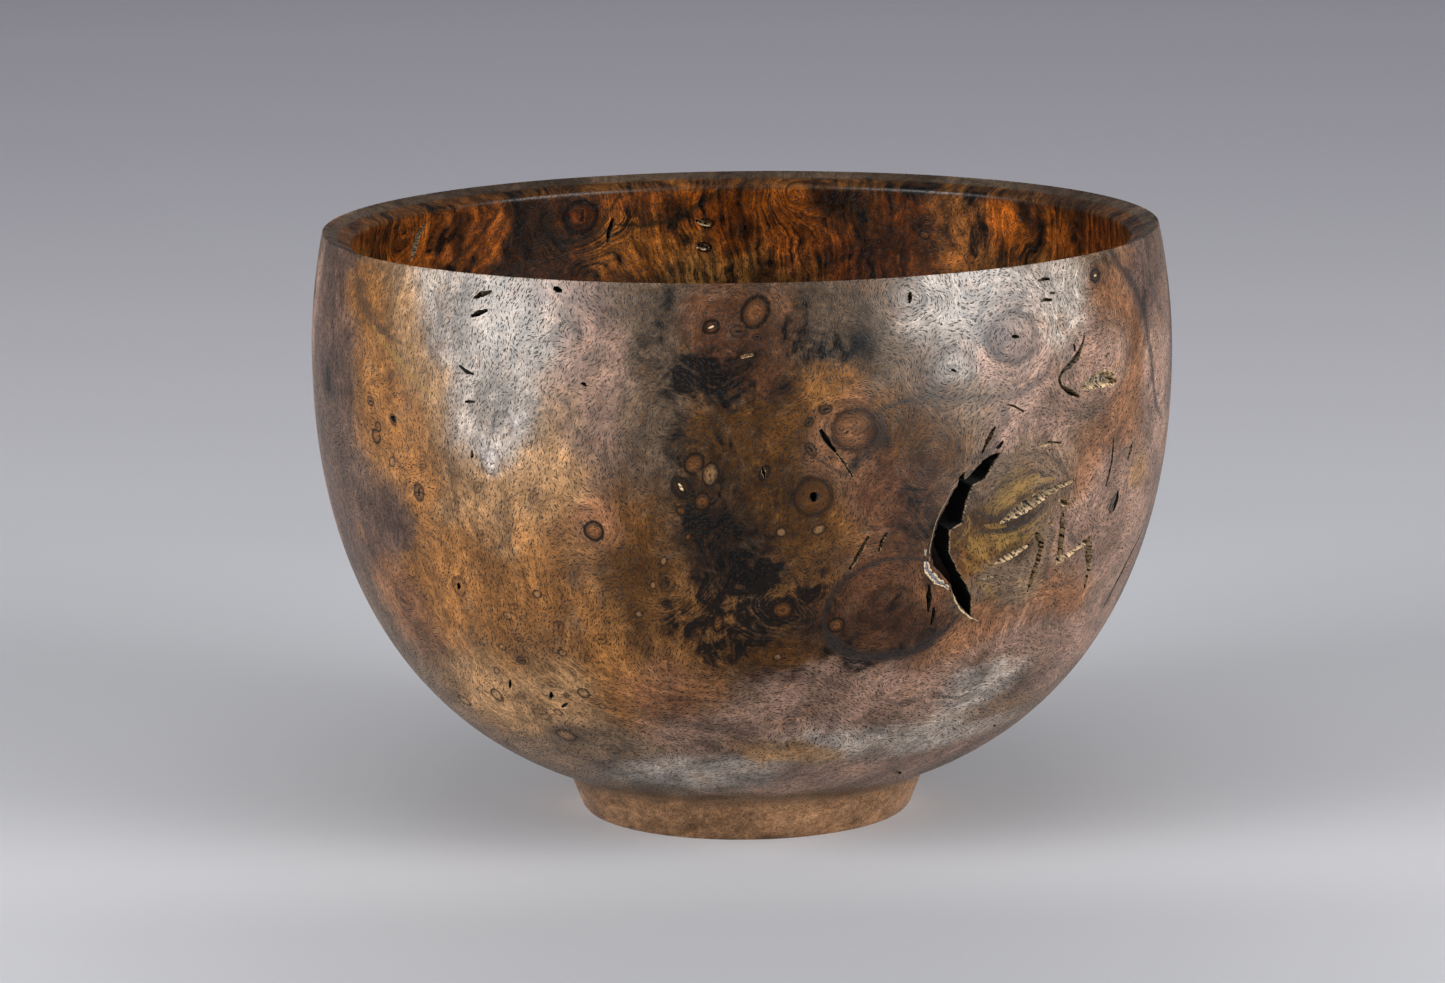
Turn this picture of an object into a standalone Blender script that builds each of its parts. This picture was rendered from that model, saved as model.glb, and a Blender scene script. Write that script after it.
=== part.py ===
"""A turned bowl of claro walnut burl: one piece of wood with its natural voids left open.

Metres, +Z up. The origin is the centre of the foot's underside. Azimuth 0 is the front, towards -Y,
and azimuth grows towards +X, so 90 is the right side and 180 the back.
"""

import math

import bmesh
import bpy
import numpy as np
from mathutils import Vector

MM = 0.001

# Driving dimensions of the turned form
TOTAL_HEIGHT = 158.6 * MM
WIDEST_RADIUS = 115.0 * MM
WIDEST_HEIGHT = 125.4 * MM
BODY_DEPTH = 120.2 * MM
BODY_RISE_POWER = 2.22
BODY_ROUND_POWER = 2.55
RIM_CLOSING = 3.6 * MM
RIM_CLOSING_POWER = 1.93

# The rim slopes in and down from its outer edge
RIM_INNER_RADIUS = 103.8 * MM
RIM_INNER_HEIGHT = 155.2 * MM
INSIDE_WIDEST_RADIUS = 106.4 * MM
INSIDE_WIDEST_HEIGHT = 122.0 * MM
INSIDE_DEPTH = 104.5 * MM
INSIDE_POWER = 2.25

# The foot tapers down to its ring, and a small cove joins it to the body
FOOT_RING_OUTER = 43.8 * MM
FOOT_RING_INNER = 34.0 * MM
FOOT_EDGE_RADIUS = 44.6 * MM
FOOT_EDGE_HEIGHT = 0.9 * MM
COVE_TOP_HEIGHT = 13.4 * MM
COVE_CORNER = (48.7 * MM, 11.2 * MM)
COVE_FOOT_HEIGHT = 9.0 * MM
RECESS_DEPTH = 2.6 * MM
RECESS_SHOULDER = (27.0 * MM, 2.0 * MM)

# How finely the wall is faceted
SEGMENTS = 72
LOW_ROWS = 15
HIGH_ROWS = 4
INSIDE_ROWS = 15
CURVE_SAMPLES = 400
SHARP_ANGLE = math.radians(30)
COVE_ROWS = 3

# Cutters start this far outside the wood, and narrow on the way in
CUTTER_START = 1.2 * MM
START_WIDENING = 1.1
FLOOR_NARROWING = 0.5
THROUGH_DEPTH = 15.0 * MM
THROUGH_NARROWING = 0.8

# Each void follows points of (azimuth in degrees, height in mm, half width in mm) along its middle
OUTSIDE_VOIDS = {
    "long_split": (None, [
        (34.4, 113.0, 0.4), (32.6, 110.2, 1.1), (31.0, 107.8, 1.7), (29.2, 105.0, 1.9),
        (27.9, 101.8, 2.5), (27.1, 98.0, 2.9), (26.4, 93.8, 3.0), (26.0, 89.8, 2.7),
        (26.5, 85.8, 2.7), (28.1, 81.6, 2.3), (29.5, 77.8, 1.9), (30.8, 74.2, 1.6),
        (31.9, 71.0, 1.1), (32.8, 68.0, 0.4)]),
    "split_branch": (4.0, [(33.2, 119.2, 0.3), (32.3, 116.0, 0.7), (31.2, 112.6, 0.3)]),
    "split_foot_slit": (4.0, [(24.9, 79.6, 0.3), (25.1, 75.9, 0.8), (25.4, 71.8, 0.3)]),
    "split_foot_slit_low": (4.0, [(26.1, 73.2, 0.3), (26.3, 70.6, 0.6), (26.2, 68.0, 0.3)]),
    "bark_seam_high": (3.2, [
        (34.8, 93.8, 0.3), (36.5, 95.4, 1.3), (38.8, 97.0, 1.7), (40.9, 98.5, 1.5),
        (42.8, 100.0, 1.2), (45.0, 101.0, 0.8), (47.6, 101.6, 0.3)]),
    "bark_seam_low": (2.4, [
        (34.8, 82.8, 0.3), (36.2, 83.8, 0.9), (37.7, 84.8, 1.0), (39.0, 85.8, 0.8), (40.4, 86.7, 0.3)]),
    "hooked_slit": (3.6, [
        (41.2, 89.4, 0.5), (42.5, 87.4, 0.9), (42.8, 84.0, 0.8), (42.4, 80.3, 0.8),
        (42.1, 76.9, 0.8), (41.9, 73.2, 0.3)]),
    "bark_pocket": (2.6, [(44.9, 97.5, 0.4), (46.1, 96.3, 1.0), (47.4, 95.0, 0.4)]),
    "zigzag_stem": (3.6, [(46.0, 94.0, 0.5), (46.4, 88.6, 0.8), (46.8, 83.6, 0.8), (47.2, 79.4, 1.5)]),
    "zigzag_bar": (2.6, [(47.6, 80.6, 1.2), (49.5, 82.0, 0.7), (51.4, 83.2, 0.8), (53.6, 84.2, 1.3)]),
    "zigzag_tail": (3.6, [(53.2, 84.0, 1.1), (53.8, 80.2, 1.2), (54.9, 77.0, 0.9), (55.5, 70.0, 0.3)]),
    "top_seam": (2.2, [(40.4, 112.2, 0.3), (42.2, 112.9, 0.6), (44.6, 112.2, 0.3)]),
    "right_hole": (3.4, [(58.9, 95.4, 0.4), (58.9, 92.8, 1.0), (58.5, 90.0, 0.4)]),
    "right_slit": (3.0, [(61.7, 107.4, 0.3), (61.2, 105.0, 0.7), (60.6, 103.0, 0.3)]),
    "right_long_crack": (2.4, [(74.4, 80.4, 0.3), (70.0, 73.4, 0.5), (67.6, 67.0, 0.5), (66.2, 61.4, 0.3)]),
    "s_crack_high": (3.2, [
        (49.4, 138.8, 0.3), (48.6, 135.6, 0.5), (47.5, 133.3, 1.0), (46.0, 131.8, 0.8), (44.7, 130.6, 0.5),
        (43.9, 128.6, 0.5), (44.5, 126.8, 0.5), (45.6, 125.4, 0.7), (46.8, 124.3, 0.7), (48.0, 123.3, 0.3)]),
    "leaf_pocket": (2.8, [
        (48.2, 125.4, 0.4), (49.6, 125.9, 1.2), (51.3, 126.4, 2.0), (53.1, 126.5, 2.4),
        (54.8, 126.1, 2.0), (56.4, 124.8, 0.7)]),
    "rim_right_slit": (2.2, [(41.6, 149.0, 0.3), (42.6, 149.2, 0.6), (43.8, 149.0, 0.3)]),
    "rim_mid_slit": (2.4, [(21.8, 154.8, 0.3), (21.7, 153.4, 0.6), (21.5, 152.0, 0.3)]),
    "left_upper_slit": (3.0, [(-36.8, 152.5, 0.3), (-35.4, 153.6, 0.9), (-34.0, 154.7, 0.3)]),
    "left_lower_slit": (3.0, [(-37.0, 147.3, 0.3), (-35.7, 148.6, 0.8), (-34.4, 150.0, 0.3)]),
    "left_hook": (2.2, [(-38.6, 135.4, 0.3), (-37.3, 134.4, 0.6), (-36.1, 133.3, 0.3)]),
    "ring_crevice": (2.8, [(9.4, 122.4, 0.5), (10.1, 119.3, 1.0), (11.4, 116.0, 0.4)]),
    "swirl_hole": (2.6, [(8.3, 106.0, 0.6), (8.6, 104.8, 1.2), (8.6, 103.6, 0.6)]),
    "middle_slit": (2.6, [(2.1, 113.4, 0.3), (2.3, 111.4, 0.7), (2.5, 109.4, 0.3)]),
    "knot_slit_left": (3.2, [(15.8, 94.0, 0.3), (15.1, 91.0, 0.8), (14.3, 88.2, 0.8), (13.4, 85.2, 0.3)]),
    "knot_slit_right": (3.0, [(18.2, 94.6, 0.3), (17.6, 92.0, 0.8), (17.2, 89.4, 0.3)]),
    "foot_pit": (2.0, [(34.0, 21.2, 0.4), (35.6, 20.4, 0.8), (37.2, 19.5, 0.4)]),
    "back_split": (5.0, [
        (168.0, 119.0, 0.3), (166.2, 112.0, 1.0), (165.2, 105.0, 1.6), (166.4, 98.0, 1.2),
        (169.2, 90.0, 0.3)]),
    "back_seam": (3.0, [(-151.0, 92.0, 0.3), (-147.5, 95.0, 1.0), (-143.5, 97.2, 1.4), (-139.5, 97.8, 0.3)]),
    "back_hook": (3.0, [(-128.0, 66.0, 0.3), (-125.6, 63.6, 0.9), (-124.8, 60.0, 0.7), (-125.6, 56.4, 0.3)]),
    "side_slit_right": (3.0, [(118.0, 135.4, 0.3), (117.2, 131.6, 0.8), (117.0, 127.6, 0.3)]),
    "side_slit_left": (3.0, [(-105.0, 128.4, 0.3), (-103.4, 126.6, 0.8), (-102.0, 125.8, 0.3)]),
    "side_crack_left": (3.0, [(-84.8, 86.0, 0.3), (-84.0, 82.0, 0.7), (-84.3, 78.4, 0.3)]),
    "low_slit_right": (2.6, [(142.0, 70.4, 0.3), (140.4, 67.4, 0.8), (139.8, 64.0, 0.3)]),
    "low_slit_side": (2.6, [(100.0, 92.4, 0.3), (101.0, 89.4, 0.8), (101.2, 86.0, 0.3)]),
}
INSIDE_VOIDS = {
    "inner_bark_slit": (2.6, [
        (-123.4, 152.0, 0.4), (-121.7, 148.6, 1.1), (-120.8, 145.0, 1.2), (-120.2, 141.6, 0.4)]),
    "inner_crevice": (2.8, [(-160.0, 147.0, 0.4), (-159.5, 143.6, 0.9), (-159.1, 140.0, 0.4)]),
    "inner_pit_high": (1.8, [(-173.2, 145.2, 0.4), (-174.4, 144.4, 0.7), (-175.6, 143.8, 0.4)]),
    "inner_pit_low": (1.8, [(-173.4, 137.8, 0.4), (-174.4, 137.4, 0.9), (-175.4, 137.0, 0.4)]),
}
RIM_NICKS = [(-157.2, 1.1), (-50.1, 0.8), (22.0, 0.7)]
NICK_DEPTH = 1.3 * MM

# The oiled wood, as linear red, green, blue and alpha
WOOD_COLOUR = (0.16, 0.085, 0.045, 1.0)
WOOD_ROUGHNESS = 0.45


def outer_radius(height):
    """The body's outside: a superellipse up to the widest ring, then a gentle closing to the rim."""
    if height < WIDEST_HEIGHT:
        drop = (WIDEST_HEIGHT - height) / BODY_DEPTH
        return WIDEST_RADIUS * max(1.0 - drop ** BODY_RISE_POWER, 0.0) ** (1.0 / BODY_ROUND_POWER)
    rise = (height - WIDEST_HEIGHT) / (TOTAL_HEIGHT - WIDEST_HEIGHT)
    return WIDEST_RADIUS - RIM_CLOSING * rise ** RIM_CLOSING_POWER


def inner_radius(height):
    """The hollow: a superellipse down to its floor, and a gentle closing up to the rim's inner edge."""
    if height < INSIDE_WIDEST_HEIGHT:
        drop = min((INSIDE_WIDEST_HEIGHT - height) / INSIDE_DEPTH, 1.0)
        return INSIDE_WIDEST_RADIUS * (1.0 - drop ** INSIDE_POWER) ** (1.0 / INSIDE_POWER)
    rise = (height - INSIDE_WIDEST_HEIGHT) / (RIM_INNER_HEIGHT - INSIDE_WIDEST_HEIGHT)
    return INSIDE_WIDEST_RADIUS - (INSIDE_WIDEST_RADIUS - RIM_INNER_RADIUS) * rise ** 2


def evenly_spaced(points, rows):
    """A dense outline resampled to rows + 1 points at equal steps along its length."""
    line = np.array(points)
    along = np.r_[0.0, np.cumsum(np.linalg.norm(np.diff(line, axis=0), axis=1))]
    steps = np.linspace(0.0, along[-1], rows + 1)
    return [(float(np.interp(s, along, line[:, 0])), float(np.interp(s, along, line[:, 1]))) for s in steps]


def curve_through(radius_at, low, high, rows):
    """Points (radius, height) of one turned curve from low to high."""
    shares = 0.5 - 0.5 * np.cos(np.linspace(0.0, math.pi, CURVE_SAMPLES))
    heights = low + (high - low) * shares
    return evenly_spaced([(radius_at(float(h)), float(h)) for h in heights], rows)


def cove_points():
    """The cove between foot and body: a quadratic curve from the foot's side to the body."""
    slope = (COVE_CORNER[0] - FOOT_EDGE_RADIUS) / (COVE_CORNER[1] - FOOT_EDGE_HEIGHT)
    start = (FOOT_EDGE_RADIUS + slope * (COVE_FOOT_HEIGHT - FOOT_EDGE_HEIGHT), COVE_FOOT_HEIGHT)
    end = (outer_radius(COVE_TOP_HEIGHT), COVE_TOP_HEIGHT)
    points = []
    for step in range(COVE_ROWS):
        t = step / COVE_ROWS
        points.append(tuple(
            (1 - t) ** 2 * a + 2 * t * (1 - t) * b + t * t * c for a, b, c in zip(start, COVE_CORNER, end)))
    return points


def wall_outline():
    """The turned outline (radius, height): the recess, the foot, the outside, and down the inside."""
    under = [(0.0, RECESS_DEPTH), RECESS_SHOULDER, (FOOT_RING_INNER, 0.0), (FOOT_RING_OUTER, 0.0)]
    foot = [(FOOT_EDGE_RADIUS, FOOT_EDGE_HEIGHT)] + cove_points()
    low = curve_through(outer_radius, COVE_TOP_HEIGHT, WIDEST_HEIGHT, LOW_ROWS)
    high = curve_through(outer_radius, WIDEST_HEIGHT, TOTAL_HEIGHT, HIGH_ROWS)[1:]
    floor_height = INSIDE_WIDEST_HEIGHT - INSIDE_DEPTH
    inside = curve_through(inner_radius, floor_height, RIM_INNER_HEIGHT, INSIDE_ROWS)[::-1]
    return under + foot + low + high + inside


def lathe(outline):
    """The outline spun round the upright axis into a closed body."""
    body = bmesh.new()
    verts = [body.verts.new((r, 0.0, z)) for r, z in outline]
    edges = [body.edges.new(pair) for pair in zip(verts, verts[1:])]
    upright, full_turn = (0, 0, 1), 2 * math.pi
    bmesh.ops.spin(body, geom=verts + edges, cent=(0, 0, 0), axis=upright, angle=full_turn, steps=SEGMENTS)
    bmesh.ops.remove_doubles(body, verts=body.verts, dist=0.01 * MM)
    bmesh.ops.recalc_face_normals(body, faces=body.faces)
    return body


def surface_frame(azimuth, height, radius_at):
    """A point on a turned surface with its outward, sideways and upward directions there."""
    angle = math.radians(azimuth)
    step = 0.5 * MM
    slope = (radius_at(height + step) - radius_at(height - step)) / (2 * step)
    away = Vector((math.sin(angle), -math.cos(angle), 0.0))
    side = Vector((math.cos(angle), math.sin(angle), 0.0))
    up = (away * slope + Vector((0.0, 0.0, 1.0))).normalized()
    return away * radius_at(height) + Vector((0.0, 0.0, height)), side.cross(up), side, up


def void_outline(path, radius_at):
    """The void's two long edges, going round it: (point, outward direction, offset to the edge)."""
    frames = [surface_frame(azimuth, height * MM, radius_at) for azimuth, height, _ in path]
    left, right = [], []
    for index, (point, outward, _, _) in enumerate(frames):
        before = frames[max(index - 1, 0)][0]
        after = frames[min(index + 1, len(frames) - 1)][0]
        across = outward.cross((after - before).normalized()).normalized()
        half_width = path[index][2] * MM
        left.append((point, outward, across * half_width))
        right.append((point, outward, across * -half_width))
    return left + right[::-1]


def add_cutter(body, outline, inward, depths):
    """A closed shape lofted through the outline at each (depth, share of the width)."""
    rings = []
    for depth, share in depths:
        rings.append([body.verts.new(p + n * (inward * depth) + offset * share) for p, n, offset in outline])
    count = len(outline)
    faces = [body.faces.new(rings[0]), body.faces.new(rings[-1][::-1])]
    for outer, inner in zip(rings, rings[1:]):
        for i in range(count):
            j = (i + 1) % count
            faces.append(body.faces.new((outer[j], outer[i], inner[i], inner[j])))
    bmesh.ops.recalc_face_normals(body, faces=faces)


def void_cutters():
    """One mesh with a cutter for each void of the outside, the inside and the rim."""
    body = bmesh.new()
    for depth, path in OUTSIDE_VOIDS.values():
        floor = (THROUGH_DEPTH, THROUGH_NARROWING) if depth is None else (depth * MM, FLOOR_NARROWING)
        levels = [(-CUTTER_START, START_WIDENING), (0.0, 1.0), floor]
        add_cutter(body, void_outline(path, outer_radius), -1.0, levels)
    for depth, path in INSIDE_VOIDS.values():
        levels = [(-CUTTER_START, START_WIDENING), (0.0, 1.0), (depth * MM, FLOOR_NARROWING)]
        add_cutter(body, void_outline(path, inner_radius), 1.0, levels)
    for azimuth, half_width in RIM_NICKS:
        add_nick(body, azimuth, half_width * MM)
    return body


def add_nick(body, azimuth, half_width):
    """A small three-sided nick cut down into the rim's outer edge."""
    point, _, side, _ = surface_frame(azimuth, TOTAL_HEIGHT - NICK_DEPTH, outer_radius)
    away = Vector((point.x, point.y, 0.0)).normalized()
    top = Vector((0.0, 0.0, 2 * NICK_DEPTH))
    ends = []
    for reach in (2 * NICK_DEPTH, -2 * NICK_DEPTH):
        base = point + away * reach
        offsets = (side * half_width + top, -side * half_width + top, Vector((0.0, 0.0, 0.0)))
        ends.append([body.verts.new(base + offset) for offset in offsets])
    faces = [body.faces.new(ends[0]), body.faces.new(ends[1][::-1])]
    for i in range(3):
        j = (i + 1) % 3
        faces.append(body.faces.new((ends[0][j], ends[0][i], ends[1][i], ends[1][j])))
    bmesh.ops.recalc_face_normals(body, faces=faces)


def burl_material():
    """Oiled claro walnut burl."""
    wood = bpy.data.materials.new("claro_walnut_burl")
    wood.use_nodes = True
    shader = wood.node_tree.nodes["Principled BSDF"]
    shader.inputs["Base Color"].default_value = WOOD_COLOUR
    shader.inputs["Roughness"].default_value = WOOD_ROUGHNESS
    shader.inputs["Metallic"].default_value = 0.0
    return wood


def new_object(name, body):
    """A named object in the scene from a bmesh, which is freed."""
    mesh = bpy.data.meshes.new(name)
    body.to_mesh(mesh)
    body.free()
    item = bpy.data.objects.new(name, mesh)
    bpy.context.scene.collection.objects.link(item)
    return item


def build_bowl():
    """The bowl's one solid: the lathed wall with every void cut out of it."""
    bowl = new_object("bowl", lathe(wall_outline()))
    bowl.data.materials.append(burl_material())
    bowl.data.shade_smooth()
    bowl.data.set_sharp_from_angle(angle=SHARP_ANGLE)
    cutters = new_object("void_cutters", void_cutters())
    cutters.hide_render = True
    cutters.display_type = "WIRE"
    cut = bowl.modifiers.new("voids", "BOOLEAN")
    cut.operation = "DIFFERENCE"
    cut.object = cutters
    cut.use_self = True


def main():
    for item in list(bpy.data.objects):
        bpy.data.objects.remove(item)
    build_bowl()


main()
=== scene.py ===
"""The finished surface of a turned claro walnut burl bowl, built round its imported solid, with a plain stage.

Lengths are metres, +Z is up, and azimuth 0 is the front, towards -Y, growing towards +X. Figure and voids
are placed by azimuth in degrees and height in millimetres, as one would mark them on the turned blank.
"""

import itertools
import math

import bpy
import numpy as np
from mathutils import Matrix, Vector


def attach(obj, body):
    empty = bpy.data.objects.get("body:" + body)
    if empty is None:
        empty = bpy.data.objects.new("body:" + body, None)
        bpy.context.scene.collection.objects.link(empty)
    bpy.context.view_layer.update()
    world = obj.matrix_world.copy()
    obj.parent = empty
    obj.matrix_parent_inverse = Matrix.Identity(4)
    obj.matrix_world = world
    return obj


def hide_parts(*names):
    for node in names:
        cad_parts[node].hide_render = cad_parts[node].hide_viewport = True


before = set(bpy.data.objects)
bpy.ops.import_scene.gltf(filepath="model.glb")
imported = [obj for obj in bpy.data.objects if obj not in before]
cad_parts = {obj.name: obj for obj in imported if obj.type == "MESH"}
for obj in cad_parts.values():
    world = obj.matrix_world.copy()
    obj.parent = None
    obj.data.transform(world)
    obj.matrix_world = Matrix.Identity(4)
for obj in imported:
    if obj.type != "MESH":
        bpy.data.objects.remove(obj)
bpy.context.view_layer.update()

bl_info = {
    "name": "Turned Burl Bowl",
    "version": (1, 0, 0),
    "blender": (4, 5, 0),
    "location": "3D Viewport > Sidebar > Burl Bowl",
    "description": "Turns a walnut burl bowl with open voids and figured wood, and sets a studio stage",
    "category": "Object",
}

MM = 0.001

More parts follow.
